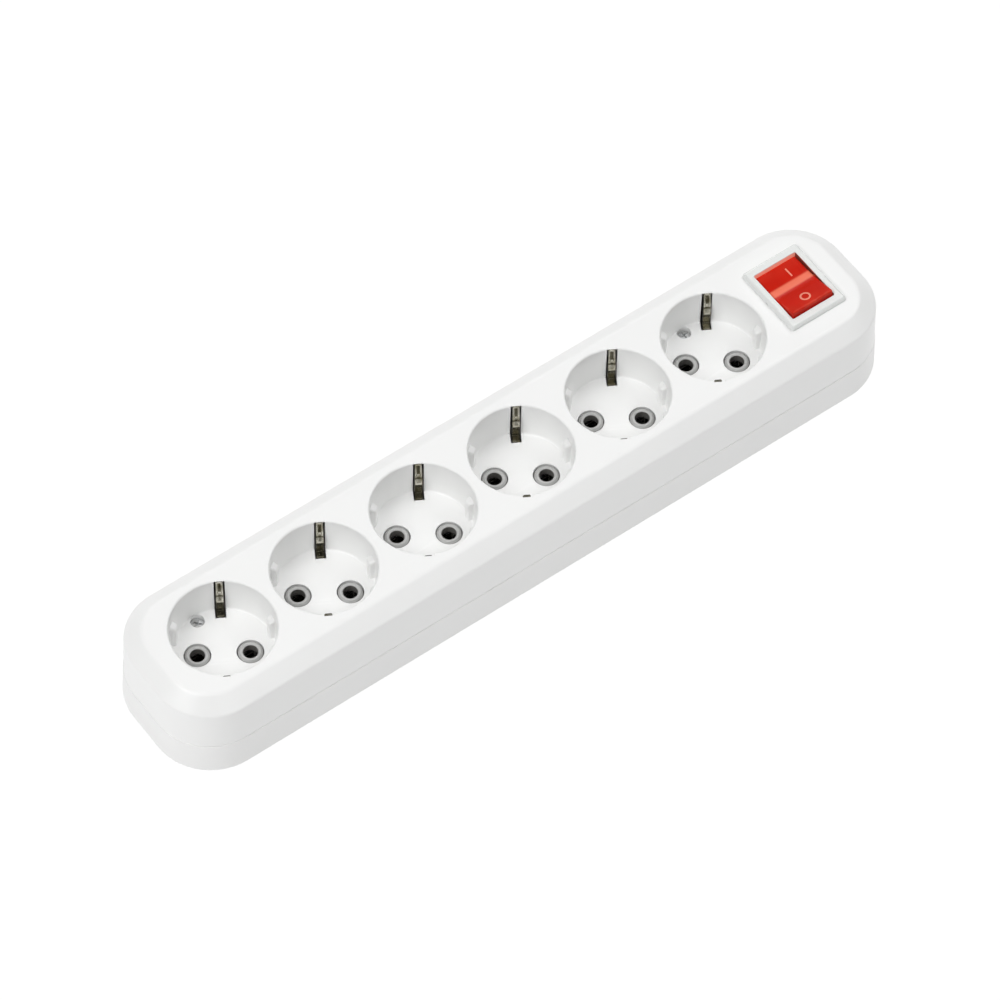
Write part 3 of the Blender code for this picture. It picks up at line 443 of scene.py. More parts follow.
SURFACE_OUTPUTS = (
    ("Colour", "NodeSocketColor"),
    ("Roughness", "NodeSocketFloat"),
    ("Height", "NodeSocketFloat"),
)


def noise(tree, where, scale, detail):
    """The value of a noise texture at a scale."""
    links = {"Vector": where, "Scale": scale, "Detail": detail}
    return add(tree, "ShaderNodeTexNoise", links).outputs["Fac"]


def moulded_group():
    """Moulded plastic: faint flow mottle, spark-eroded grain and uneven gloss."""
    if "Moulded Surface" in bpy.data.node_groups:
        return bpy.data.node_groups["Moulded Surface"]
    tree = bpy.data.node_groups.new("Moulded Surface", "ShaderNodeTree")
    start, end = group_sockets(
        tree,
        (
            ("Colour", "NodeSocketColor", (0.8, 0.8, 0.8, 1.0)),
            ("Shade", "NodeSocketColor", (0.78, 0.78, 0.77, 1.0)),
            ("Gloss Low", "NodeSocketFloat", 0.3),
            ("Gloss High", "NodeSocketFloat", 0.4),
            ("Grain", "NodeSocketFloat", 2600.0),
            ("Flow", "NodeSocketFloat", 28.0),
        ),
        SURFACE_OUTPUTS,
    )
    where = add(tree, "ShaderNodeTexCoord").outputs["Object"]
    flow = noise(tree, where, start.outputs["Flow"], 4.0)
    grain = noise(tree, where, start.outputs["Grain"], 3.0)
    pits = add(tree, "ShaderNodeTexVoronoi", {"Vector": where, "Scale": start.outputs["Grain"]})
    amount = ranged(tree, flow, 0.3, 0.7, 0.0, 1.0)
    tint = mixed(tree, amount, start.outputs["Colour"], start.outputs["Shade"])
    glossy = start.outputs["Gloss Low"], start.outputs["Gloss High"]
    gloss = ranged(tree, grain, 0.25, 0.75, *glossy)
    height = add(tree, "ShaderNodeMath", {0: grain, 1: pits.outputs["Distance"]})
    tree.links.new(tint, end.inputs["Colour"])
    tree.links.new(gloss, end.inputs["Roughness"])
    tree.links.new(height.outputs[0], end.inputs["Height"])
    return tree


def edge_highlight_group():
    """A painted edge highlight: a mask that is 1 on convex outer edges and 0 elsewhere, broken up
    by noise.
    """
    if "Painted Edge Highlight" in bpy.data.node_groups:
        return bpy.data.node_groups["Painted Edge Highlight"]
    tree = bpy.data.node_groups.new("Painted Edge Highlight", "ShaderNodeTree")
    start, end = group_sockets(
        tree,
        (("Start", "NodeSocketFloat", 0.52), ("End", "NodeSocketFloat", 0.6)),
        (("Mask", "NodeSocketFloat"),),
    )
    edges = add(tree, "ShaderNodeNewGeometry").outputs["Pointiness"]
    where = add(tree, "ShaderNodeTexCoord").outputs["Object"]
    patches = noise(tree, where, 180.0, 5.0)
    edge_lit = ranged(tree, edges, start.outputs["Start"], start.outputs["End"], 0.0, 1.0)
    broken = ranged(tree, patches, 0.35, 0.65, 0.2, 1.0)
    product = add(tree, "ShaderNodeMath", {0: edge_lit, 1: broken}, operation="MULTIPLY")
    tree.links.new(product.outputs[0], end.inputs["Mask"])
    return tree


def metal_group():
    """Rolled and stamped strip: fine streaks along one axis and patches of tarnish."""
    if "Stamped Metal" in bpy.data.node_groups:
        return bpy.data.node_groups["Stamped Metal"]
    tree = bpy.data.node_groups.new("Stamped Metal", "ShaderNodeTree")
    start, end = group_sockets(
        tree,
        (
            ("Colour", "NodeSocketColor", (0.7, 0.7, 0.7, 1.0)),
            ("Tarnish", "NodeSocketColor", (0.4, 0.36, 0.28, 1.0)),
            ("Gloss Low", "NodeSocketFloat", 0.18),
            ("Gloss High", "NodeSocketFloat", 0.42),
            ("Streaks", "NodeSocketVector", (900.0, 900.0, 90.0)),
            ("Patches", "NodeSocketFloat", 260.0),
        ),
        SURFACE_OUTPUTS,
    )
    where = add(tree, "ShaderNodeTexCoord").outputs["Object"]
    links = {0: where, 1: start.outputs["Streaks"]}
    scaled = add(tree, "ShaderNodeVectorMath", links, operation="MULTIPLY").outputs[0]
    streak = noise(tree, scaled, 1.0, 3.0)
    patch = noise(tree, where, start.outputs["Patches"], 4.0)
    amount = ranged(tree, patch, 0.42, 0.66, 0.0, 1.0)
    tint = mixed(tree, amount, start.outputs["Colour"], start.outputs["Tarnish"])
    gloss = ranged(tree, streak, 0.3, 0.7, start.outputs["Gloss Low"], start.outputs["Gloss High"])
    tree.links.new(tint, end.inputs["Colour"])
    tree.links.new(gloss, end.inputs["Roughness"])
    tree.links.new(streak, end.inputs["Height"])
    return tree


# =================================================================== materials
UP_STREAKS = (900.0, 900.0, 90.0)
LONG_STREAKS = (90.0, 900.0, 900.0)
EVEN_STREAKS = (500.0, 500.0, 500.0)


def shader_of(name):
    mat = bpy.data.materials.new(name)
    mat.use_nodes = True
    return mat, mat.node_tree, mat.node_tree.nodes["Principled BSDF"]


def rgba(value):
    return (value[0], value[1], value[2], 1.0)


def shaded(value, factor):
    return tuple(min(1.0, channel * factor) for channel in value)


def surfaced(tree, shader, node, bump, depth):
    """Feeds a surface group's colour, roughness and height into a shader."""
    tree.links.new(node.outputs["Colour"], shader.inputs["Base Color"])
    tree.links.new(node.outputs["Roughness"], shader.inputs["Roughness"])
    relief = add(tree, "ShaderNodeBump", {"Height": node.outputs["Height"]})
    relief.inputs["Strength"].default_value = bump
    relief.inputs["Distance"].default_value = depth * MM
    tree.links.new(relief.outputs["Normal"], shader.inputs["Normal"])


def plastic(
    name, tone, shade, gloss, grain=2600.0, flow=28.0, bump=0.25, depth=0.02, edge=0.0, **extra
):
    """A moulded plastic. Edge is how much lighter the painted highlight makes its outer edges."""
    if name in bpy.data.materials:
        return bpy.data.materials[name]
    mat, tree, shader = shader_of(name)
    links = {
        "Colour": rgba(tone),
        "Shade": rgba(shade),
        "Gloss Low": gloss[0],
        "Gloss High": gloss[1],
        "Grain": grain,
        "Flow": flow,
    }
    surface = add(tree, "ShaderNodeGroup", node_tree=moulded_group())
    for key, value in links.items():
        surface.inputs[key].default_value = value
    surfaced(tree, shader, surface, bump, depth)
    if edge:
        # Painted highlight: the outer edges are lightened by the edge mask.
        edge_lit = add(tree, "ShaderNodeGroup", node_tree=edge_highlight_group())
        edge_tone = rgba(shaded(tone, 1.0 + edge))
        lit = mixed(tree, edge_lit.outputs["Mask"], surface.outputs["Colour"], edge_tone)
        tree.links.new(lit, shader.inputs["Base Color"])
    for key, value in extra.items():
        shader.inputs[key.replace("_", " ")].default_value = value
    return mat


def metal(name, tone, tarnish, gloss, streaks=UP_STREAKS, patches=260.0, bump=0.2):
    """A plated or plain metal. Streaks are the scales of its grain along X, Y and Z."""
    if name in bpy.data.materials:
        return bpy.data.materials[name]
    mat, tree, shader = shader_of(name)
    surface = add(tree, "ShaderNodeGroup", node_tree=metal_group())
    surface.inputs["Colour"].default_value = rgba(tone)
    surface.inputs["Tarnish"].default_value = rgba(tarnish)
    surface.inputs["Gloss Low"].default_value = gloss[0]
    surface.inputs["Gloss High"].default_value = gloss[1]
    surface.inputs["Streaks"].default_value = streaks
    surface.inputs["Patches"].default_value = patches
    shader.inputs["Metallic"].default_value = 1.0
    surfaced(tree, shader, surface, bump, 0.01)
    return mat


def shell_white():
    tone = bpy.context.scene.block_shell.white
    return plastic("shell white", tone, shaded(tone, 0.985), (0.3, 0.4), bump=0.12, edge=0.03)


def base_white():
    tone = bpy.context.scene.block_shell.base_white
    return plastic("base white", tone, shaded(tone, 0.98), (0.36, 0.48), bump=0.2, edge=0.03)


def bezel_white():
    tone = bpy.context.scene.block_switch.bezel
    return plastic("bezel white", tone, shaded(tone, 0.985), (0.22, 0.3), bump=0.08, edge=0.02)


def window_painted_glow():
    """The far wall of the window, painted salmon and made to glow as a painted reflection of the
    red rocker.
    """
    tone = (0.9, 0.5, 0.42)
    glow = {"Emission_Color": (0.9, 0.32, 0.22, 1.0), "Emission_Strength": 0.4}
    return plastic("window painted reflection", tone, shaded(tone, 0.9), (0.3, 0.4), bump=0.08, **glow)


def window_shade():
    """The wall beside the rocker's end, dark with the light the rocker keeps from it."""
    tone = (0.3, 0.06, 0.04)
    return plastic("window shade", tone, shaded(tone, 0.8), (0.4, 0.5), bump=0.08)


def bush_grey():
    tone = bpy.context.scene.block_socket.bush_grey
    # Painted highlight: its outer edges are a quarter lighter.
    return plastic("bush grey", tone, shaded(tone, 0.9), (0.36, 0.5), bump=0.3, edge=0.25)


def bore_painted_shade():
    # Painted shade for the wall down inside a bush's bore.
    tone = (0.17, 0.165, 0.155)
    return plastic("bore shade", tone, shaded(tone, 0.7), (0.5, 0.65), bump=0.2)


def chamfer_painted_shade():
    # Painted shade for a bush's outer chamfer, standing in for the shade of the gap round the bush.
    tone = shaded(bpy.context.scene.block_socket.bush_grey, 0.8)
    return plastic("bush chamfer shade", tone, shaded(tone, 0.9), (0.4, 0.55), bump=0.3)


def rubber_black():
    return plastic("bush rubber", (0.03, 0.03, 0.031), (0.05, 0.05, 0.05), (0.55, 0.75), bump=0.5)


def band_group():
    """A mask that is 1 in a band across one direction and fades to 0 on both sides."""
    if "Soft Band" in bpy.data.node_groups:
        return bpy.data.node_groups["Soft Band"]
    tree = bpy.data.node_groups.new("Soft Band", "ShaderNodeTree")
    start, end = group_sockets(
        tree,
        (
            ("Across", "NodeSocketVector", (0.0, 1.0, 0.0)),
            ("Centre", "NodeSocketFloat", 0.0),
            ("Core", "NodeSocketFloat", 0.001),
            ("Fade", "NodeSocketFloat", 0.002),
        ),
        (("Mask", "NodeSocketFloat"),),
    )
    where = add(tree, "ShaderNodeTexCoord").outputs["Object"]
    links = {0: where, 1: start.outputs["Across"]}
    along = add(tree, "ShaderNodeVectorMath", links, operation="DOT_PRODUCT").outputs["Value"]
    links = {0: along, 1: start.outputs["Centre"]}
    gap = add(tree, "ShaderNodeMath", links, operation="SUBTRACT")
    gap = add(tree, "ShaderNodeMath", {0: gap.outputs[0]}, operation="ABSOLUTE")
    mask = ranged(tree, gap.outputs[0], start.outputs["Core"], start.outputs["Fade"], 1.0, 0.0)
    tree.links.new(mask, end.inputs["Mask"])
    return tree


def rocker_red():
    """Clear red plastic, glossy, with painted highlights: paler along the crease and on the edges,
    where the curves catch the light.
    """
    part = bpy.context.scene.block_switch
    tone = part.red
    extra = {
        "Coat_Weight": 0.08,
        "Coat_Roughness": 0.1,
        "Specular_IOR_Level": 0.16,
        "Subsurface_Weight": 0.15,
        "Subsurface_Radius": (1.0, 0.12, 0.04),
        "Subsurface_Scale": 1.0 * MM,
    }
    fresh = "rocker red" not in bpy.data.materials
    shade = shaded(tone, 0.88)
    mat = plastic("rocker red", tone, shade, (0.14, 0.22), 1400.0, 120.0, 0.06, 0.01, **extra)
    if fresh:
        tree = mat.node_tree
        shader = tree.nodes["Principled BSDF"]
        surface = shader.inputs["Base Color"].links[0].from_socket
        across = Vector((0.0, math.cos(REST_TILT), math.sin(REST_TILT)))
        # Painted highlight: a paler band of the crease colour along the crease.
        band = add(tree, "ShaderNodeGroup", node_tree=band_group())
        band.inputs["Across"].default_value = across
        band.inputs["Centre"].default_value = across.dot(PIVOT) * MM + 1.2 * MM
        band.inputs["Core"].default_value = 1.15 * MM
        band.inputs["Fade"].default_value = 2.0 * MM
        # Painted highlight: the edges take the crease colour too.
        edge_lit = add(tree, "ShaderNodeGroup", node_tree=edge_highlight_group())
        pale = mixed(tree, band.outputs["Mask"], surface, rgba(part.crease))
        edged = mixed(tree, edge_lit.outputs["Mask"], pale, rgba(part.crease))
        tree.links.new(edged, shader.inputs["Base Color"])
    return mat


def mark_salmon():
    tone = bpy.context.scene.block_switch.mark
    return plastic("mark ink", tone, shaded(tone, 0.9), (0.4, 0.55), 3000.0, 300.0, 0.2, 0.01)


def nickel():
    tone, tarnish = (0.58, 0.56, 0.49), (0.3, 0.28, 0.2)
    return metal("nickel plate", tone, tarnish, (0.1, 0.22), patches=300.0, bump=0.08)


def nickel_painted_shade():
    # Painted shade: the dark bands and the patch inside a clip's tip.
    tone, tarnish = (0.16, 0.15, 0.11), (0.09, 0.08, 0.05)
    return metal("nickel painted shade", tone, tarnish, (0.15, 0.3), patches=300.0, bump=0.1)


def clip_edge_painted_shade():
    # Painted shade along a clip arm's edges and end faces.
    tone, tarnish = (0.055, 0.052, 0.04), (0.03, 0.03, 0.02)
    return metal("clip edge shade", tone, tarnish, (0.35, 0.5), patches=300.0, bump=0.1)


def tinned():
    return metal("tinned strip", (0.4, 0.39, 0.36), (0.2, 0.18, 0.14), (0.12, 0.3), LONG_STREAKS)


def brass():
    return metal("brass strip", (0.72, 0.5, 0.2), (0.5, 0.3, 0.11), (0.2, 0.4), LONG_STREAKS)


def zinc():
    return metal("zinc plate", (0.8, 0.81, 0.82), (0.48, 0.47, 0.44), (0.2, 0.4), EVEN_STREAKS)


# ======================================================================= cover
def shell_ring(inset, z):
    """The block's outline, moved in by an inset."""
    shell = bpy.context.scene.block_shell
    radius = shell.corner / MM
    half_x, half_y = HALF_LENGTH - inset, HALF_WIDTH - inset
    return rounded_ring(half_x, half_y, radius - inset, z, steps=shell.steps)


def draft_at(z):
    """How far the drafted side has leant in at a height."""
    shell = bpy.context.scene.block_shell
    return shell.draft / MM * z / (TOP - shell.bevel_rise / MM)


def cover_outside():
    """Rings of the cover from its lower edge over the bevel to the top."""
    shell = bpy.context.scene.block_shell
    low = PARTING + 0.01
    step = shell.lip_step / MM
    foot = TOP - shell.bevel_rise / MM
    draft = shell.draft / MM
    corners = (
        (draft_at(low) + step + 0.06, low),
        (draft_at(low) + step, low + 0.08),
        (draft, foot),
        (draft + shell.bevel_run / MM, TOP),
        (draft + shell.bevel_run / MM + 4.0, TOP),
    )
    path = filleted(corners, (0.0, shell.bevel_foot / MM, shell.bevel_head / MM), 8)[:-1]
    return [shell_ring(inset, z) for inset, z in path]


def cover_inside():
    """Rings of the cover's hollow, a wall's thickness inside the shell."""
    shell = bpy.context.scene.block_shell
    wall = shell.wall / MM
    draft = shell.draft / MM
    run = shell.bevel_run / MM
    foot = TOP - shell.bevel_rise / MM
    return [
        shell_ring(wall + draft_at(PARTING), PARTING - 1.0),
        shell_ring(wall + draft, foot - wall * 0.4),
        shell_ring(wall + draft + run - 1.4, TOP - wall),
    ]


def recess_floor():
    """Height of a recess's floor."""
    return TOP - bpy.context.scene.block_socket.depth / MM


def floor_under():
    """Height of the underside of a recess's floor."""
    return recess_floor() - bpy.context.scene.block_socket.floor / MM


def recess_hollow():
    """The space of a recess, with a rounded foot and a rounded rim."""
    socket = bpy.context.scene.block_socket
    radius, rim = socket.radius / MM, socket.rim / MM
    floor = recess_floor()
    foot = radius - socket.taper / MM
    corners = ((foot - 6.0, floor), (foot, floor), (radius, TOP - rim))
    profile = filleted(corners, (socket.floor_round / MM,), 6)
    for step in range(1, 9):
        angle = math.radians(84) * step / 8
        out, up = rim * (1 - math.cos(angle)), rim * math.sin(angle)
        profile.append(Vector((radius + out, TOP - rim + up)))
    profile.append(Vector((radius + rim * 1.06, TOP + PAST)))
    return revolve(profile, 112)


def guide_rib(side, hand):
    """A rib on one side of the pin line, with a sloped head and round edges."""
    socket = bpy.context.scene.block_socket
    radius = socket.radius / MM
    top = TOP - socket.rib_drop / MM
    inner = radius - socket.rib_depth / MM
    outer = radius + socket.skin / MM / 2
    half = socket.rib_width / MM / 2
    low = recess_floor() - socket.floor / MM / 2
    rib = prism(((-half, low), (half, low), (half, top), (-half, top)), inner, outer)
    for vert in rib.verts:
        if vert.co.x < inner + 0.01:
            vert.co.y *= 0.75
            if vert.co.z > top - 0.01:
                vert.co.z -= 1.6
    rib = eased(rib, 0.75, 5)
    return turned(rib, SOCKET_TURN + hand * socket.rib_spread + (math.pi if side < 0 else 0.0))


def clip_slot(side):
    """The slot of one clip arm; the near one is wider and opens through the rim."""
    socket = bpy.context.scene.block_socket
    radius = socket.radius / MM
    floor = recess_floor()
    under = floor_under() - PAST
    outer = radius + socket.skin / MM + 1.0
    inner = socket.slot_inner / MM
    lower = [(inner, under), (outer, under)]
    if side > 0:
        half = socket.slot_width / MM / 2
        top = TOP - socket.slot_drop / MM
        upper = [(outer, top - 0.5), (outer - 1.3, top), (radius - 1.2, top)]
    else:
        half = socket.notch_width / MM / 2
        edge = radius + socket.notch_reach / MM
        above = TOP + PAST
        upper = [(outer, TOP - 2.0), (edge, TOP - 1.2), (edge, above), (radius - 1.2, above)]
    outline = lower + upper + [(radius - 1.2, floor + PAST), (inner, floor + PAST)]
    slot = prism(outline, -half, half)
    return turned(slot, CLIP_TURN - math.pi / 2 + (math.pi if side < 0 else 0.0))


def pin_hole(index, line):
    """The hole round a pin bush, flared at the floor."""
    socket = bpy.context.scene.block_socket
    centre = bush_centre(index, line)
    radius = BUSH_OUTER + socket.bush_gap / MM
    edge = recess_floor() - 0.08
    flare = (radius + HOLE_FLARE, edge + HOLE_FLARE)
    profile = ((radius, floor_under() - PAST), (radius, edge), flare)
    return revolve(profile, 64, (centre.x, centre.y))


def screw_place(index):
    """Middle of a cover screw, and the height of the seat under its head."""
    low, high = node_box("cover_screw_%d" % index)
    middle = (low + high) / 2
    sink = bpy.context.scene.block_socket.screw_sink / MM
    return (middle.x, middle.y), recess_floor() - sink - SCREW_HEAD


def screw_hole(index):
    """A straight bore down to the screw's seat, with the shaft's hole below it."""
    centre, seat = screw_place(index)
    bore = bpy.context.scene.block_socket.screw_bore / MM
    edge = recess_floor() - 0.12
    profile = (
        (SHAFT_HOLE, seat - 6.0),
        (SHAFT_HOLE, seat),
        (bore, seat),
        (bore, edge),
        (bore + HOLE_FLARE, edge + HOLE_FLARE),
    )
    return revolve(profile, 48, centre)


def screw_boss(index):
    """The post under a floor that holds a cover screw."""
    centre, seat = screw_place(index)
    bore = bpy.context.scene.block_socket.screw_bore / MM
    return revolve(((bore + 1.2, seat - 2.0), (bore + 1.4, recess_floor() - 1.0)), 48, centre)


def inlet_hole():
    """The round hole through the end wall, half in each moulding."""
    low, high = node_box("inlet_bush")
    hole = revolve(((INLET_RADIUS, -8.0), (INLET_RADIUS, 8.0)), 48)
    return shifted(turned(hole, math.pi / 2, "Y"), x=high.x, z=(low.z + high.z) / 2)


def switch_cutout():
    """The opening in the cover that the switch housing drops into."""
    bezel = bpy.context.scene.block_switch
    gap = 0.3
    half_x = bezel.window_x / MM / 2 + SKIRT_X + gap
    half_y = bezel.window_y / MM / 2 + SKIRT_Y + gap
    return box((SWITCH_X - half_x, -half_y, TOP - 6.0), (SWITCH_X + half_x, half_y, TOP + 2.0))


def build_cover():
    """Hollows the shell, adds the wells and ribs, then cuts every opening."""
    socket = bpy.context.scene.block_socket
    outer = socket.radius / MM + socket.skin / MM
    under = floor_under()
    wells, hollows, ribs, slots = [], [], [], []
    for index in SOCKETS:
        x, y = socket_centre(index)
        wells.append(revolve(((outer, under), (outer, TOP - 1.1)), 56, (x, y)))
        hollows.append(shifted(recess_hollow(), x, y))
        for side in (1, -1):
            slots.append(shifted(clip_slot(side), x, y))
            for hand in (1, -1):
                ribs.append(shifted(guide_rib(side, hand), x, y))
    holes = [pin_hole(index, line) for index in SOCKETS for line in LINES]
    holes += [screw_hole(index) for index in SCREWED]
    cover = carved(
        loft(cover_outside()),
        (
            ("DIFFERENCE", loft(cover_inside())),
            ("UNION", gathered(wells)),
            ("UNION", gathered([screw_boss(index) for index in SCREWED])),
            ("DIFFERENCE", gathered(hollows)),
            ("UNION", gathered(ribs)),
            ("DIFFERENCE", gathered(slots)),
            ("DIFFERENCE", gathered(holes)),
            ("DIFFERENCE", switch_cutout()),
            ("DIFFERENCE", inlet_hole()),
        ),
    )
    finished("cover_moulding", cover, shell_white(), "block", ("top_cover",))


# ======================================================================== base
def build_base():
    """The tray, with a chamfered parting edge, ejector marks and a blank panel below."""
    shell = bpy.context.scene.block_shell
    top = PARTING - 0.01
    lip = shell.lip / MM
    wall = shell.wall / MM
    under = filleted(((6.0, 0.0), (draft_at(0.0), 0.0), (draft_at(top), top)), (1.1,), 6)
    rings = [shell_ring(inset, z) for inset, z in under[:-1]]
    rings.append(shell_ring(draft_at(top - lip), top - lip))
    rings.append(shell_ring(draft_at(top) + lip, top))
    inside = [
        shell_ring(wall + 1.2, wall),
        shell_ring(wall + 0.3, wall + 1.2),
        shell_ring(wall + 0.3, top + 1.0),
    ]
    marks = []
    for column in range(-3, 4):
        for y in (-19.0, 19.0):
            marks.append(revolve(((2.6, -PAST), (2.6, 0.12)), 32, (column * 44.0, y)))
    panel = loft([rounded_ring(31.0, 11.0, 2.5, z, steps=6) for z in (-PAST, 0.22)])
    gate = revolve(((1.1, -PAST), (1.1, 0.3), (0.5, 0.5)), 24, (62.0, 0.0))
    base = carved(
        loft(rings),
        (
            ("DIFFERENCE", loft(inside)),
            ("DIFFERENCE", gathered(marks)),
            ("DIFFERENCE", panel),
            ("DIFFERENCE", gate),
            ("DIFFERENCE", inlet_hole()),
        ),
    )
    finished("base_moulding", base, base_white(), "block", ("base_tray",))


# ==================================================================== contacts
def bush_ring(low, top):
    """A bush with a flanged foot, a wide outer chamfer and a small one round its bore."""
    bore = bpy.context.scene.block_socket.bush_bore / MM
    corners = (
        (bore, low),
        (BUSH_FLANGE, low),
        (BUSH_FLANGE, low + FLANGE_THICK),
        (BUSH_OUTER, low + FLANGE_THICK),
        (BUSH_OUTER, top - 0.6),
        (BUSH_OUTER - 0.8, top),
        (bore + 0.32, top),
        (bore, top - 0.36),
        (bore, low),
    )
    profile = filleted(corners, (0.2, 0.2, 0.0, 0.25, 0.35, 0.16, 0.16), 4)[:-1]
    ring = revolve(profile, 64, closed=True)
    for face in ring.faces:
        spot = face.calc_center_median()
        reach = math.hypot(spot.x, spot.y)
        inward = face.normal.x * spot.x + face.normal.y * spot.y < -0.5 * reach
        # Painted shade: the bore's wall below its top chamfer.
        if inward and spot.z < top - 0.34 and reach < bore + 0.1:
            face.material_index = 1
        # Painted shade: the outer chamfer, for the shade of the gap round the bush.
        elif reach > BUSH_OUTER - 0.85:
            face.material_index = 2
    return ring


def build_bushes():
    """Grey bushes, each resting a little to one side of its hole."""
    draw = random.Random(11)
    socket = bpy.context.scene.block_socket
    top = recess_floor() + socket.bush_rise / MM
    mats = [bush_grey(), bore_painted_shade(), chamfer_painted_shade()]
    for index in SOCKETS:
        for line in LINES:
            centre = bush_centre(index, line)
            side, along = draw.uniform(-0.07, 0.07), draw.uniform(-0.07, 0.07)
            ring = shifted(bush_ring(BUSH_FOOT, top), centre.x + side, centre.y + along)
            node = "pin_bush_%d_%s" % (index, line)
            finished("bush_%d_%s" % (index, line), ring, mats, "block", (node,))


def clip_path(side):
    """One arm of a clip as (distance from the centre, height) points.

    The near arm stands straighter and ends just below the rim.
    """
    floor = recess_floor()
    strap = node_box("earth_clip_1")[0].z + 0.35
    corners = (
        (0.0, strap),
        (15.5, strap),
        (15.5, floor - 0.35),
        (18.7, floor - 0.1),
        (17.75, floor + 6.9),
        (19.25, floor + 10.4),
        (19.15, floor + 11.6),
        (20.1, floor + 14.2),
        (20.9, floor + 16.1) if side > 0 else (19.7, TOP - 0.1),
    )
    return filleted(corners, (0.8, 0.7, 0.55, 1.6, 0.9, 0.7, 1.2), 6)


def spaced(path, gap):
    """The path with points no further apart than a gap."""
    dense = [path[0]]
    for start, end in zip(path, path[1:]):
        count = max(1, math.ceil((end - start).length / gap))
        dense += [start.lerp(end, i / count) for i in range(1, count + 1)]
    return dense


def between(value, low, high):
    """Where a value lies from low to high, as a share from 0 to 1."""
    return max(0.0, min(1.0, (value - low) / (high - low)))


def clip_arm(side, short):
    """A strip with a pressed rim that runs up both edges and closes over the tip.

    Short is how many rows of the mesh the tip is cut back by.
    """
    socket = bpy.context.scene.block_socket
    floor = recess_floor()
    thick = socket.clip_thick / MM
    wide = socket.clip_width / MM / 2
    bead = socket.clip_bead / MM if side > 0 else 0.0
    path = spaced(clip_path(side), CLIP_GRAIN)
    path = path[: len(path) - short]
    half = 11
    across = [i / half for i in range(-half, half + 1)]
    rows = []
    left = sum((b - a).length for a, b in zip(path, path[1:]))
    for i, point in enumerate(path):
        before, after = path[max(i - 1, 0)], path[min(i + 1, len(path) - 1)]
        left -= (point - before).length
        ahead = (after - before).normalized()
        normal = Vector((-ahead.y, ahead.x))
        rise = between(point.y - floor, 7.4, 9.8)
        waist = 1.0 - 0.08 * rise
        tip = 0.72 + 0.28 * math.sqrt(1 - (1 - between(left, 0.0, 0.7)) ** 2)
        front, back = [], []
        for u in across:
            ring = min((1.0 - abs(u)) * wide, left)
            press = bead * rise * math.sin(math.pi * between(ring, 0.0, 0.95))
            soft = 0.14 if abs(u) > 0.99 or left < 0.02 else 0.0
            for row, reach in ((front, thick / 2 - soft), (back, soft - thick / 2)):
                spot = point + normal * (reach + press)
                row.append(Vector((spot.x, u * wide * waist * tip, spot.y)))
        rows.append(front + back[::-1])
    arm = loft(rows)
    for face in arm.faces:
        spot = face.calc_center_median()
        height, reach = spot.z - floor, abs(spot.y) / wide
        # Painted shade: bands at set heights and the middle of the tip inside its rim, standing in
        # for dark reflections in the bent strip.
        pressed = 11.4 < height < 14.9 and reach < 0.4
        dark_band = any(low < height < high for low, high in CLIP_DARK_BANDS)
        # Painted shade: the edges and end faces take the darkest finish.
        if reach > 0.86 or len(face.verts) > 4:
            face.material_index = 2
        elif pressed or dark_band:
            face.material_index = 1
    return arm


def build_clips():
    """Each recess has one stirrup with two arms; the last leans to one side of its slots."""
    draw = random.Random(5)
    for index in SOCKETS:
        x, y = socket_centre(index)
        arms = []
        for turn in (0.0, math.pi):
            offset = draw.uniform(-0.06, 0.06)
            if index == SOCKETS[-1]:
                offset -= 0.6 if turn else 0.22
            side = -1 if turn else 1
            short = 3 if turn and index % 2 else 0
            arms.append(turned(shifted(clip_arm(side, short), y=offset), CLIP_TURN + turn))
        clip = shifted(gathered(arms), x, y)
        node = "earth_clip_%d" % index
        mats = [nickel(), nickel_painted_shade(), clip_edge_painted_shade()]
        finished("clip_%d" % index, clip, mats, "block", (node,), 50.0)


# ====================================================================== screws
def screw_shape(low, high, head, shaft):
    """A pan-head cross-recessed screw standing from low to high."""
    seat = high - SCREW_HEAD
    corners = (
        (0.5, low),
        (shaft, low + 1.6),
        (shaft, seat),
        (head, seat),
        (head, high - 0.25),
        (head * 0.5, high),
    )
    profile = filleted(corners, (0.0, 0.0, 0.0, 0.3), 4)
    body = revolve([Vector((0.02, low - 0.4))] + profile + [Vector((0.02, high))], 40)
    arms = []
    for turn in (0.0, math.pi / 2):
        outline = ((-head * 0.62, high + 1.0), (-head * 0.6, high - 0.4), (-0.3, high - 1.5))
        outline += ((0.3, high - 1.5), (head * 0.6, high - 0.4), (head * 0.62, high + 1.0))
        arms.append(turned(prism(outline, -head * 0.13, head * 0.13), turn + math.radians(24)))
    return carved(body, [("DIFFERENCE", arm) for arm in arms])


SCREW_TURNS = (
    ("cover_screw_1", 0.3),
    ("cover_screw_6", -0.35),
    ("clamp_screw_1", 0.9),
    ("clamp_screw_2", 0.1),
)


def build_screws():
    """The two cover screws, sunk in their bores, and the clamp's two."""
    sink = recess_floor() - bpy.context.scene.block_socket.screw_sink / MM
    for name, turn in SCREW_TURNS:
        low, high = node_box(name)
        centre = (low + high) / 2
        head, top = (high.x - low.x) / 2, high.z
        if name.startswith("cover"):
            head, top = min(head, COVER_SCREW_RADIUS), sink
        shape = turned(screw_shape(low.z, top, head, SCREW_SHAFT), turn)
        shape = shifted(shape, centre.x, centre.y)
        finished(name.replace("screw", "bolt"), shape, zinc(), "block", (name,))


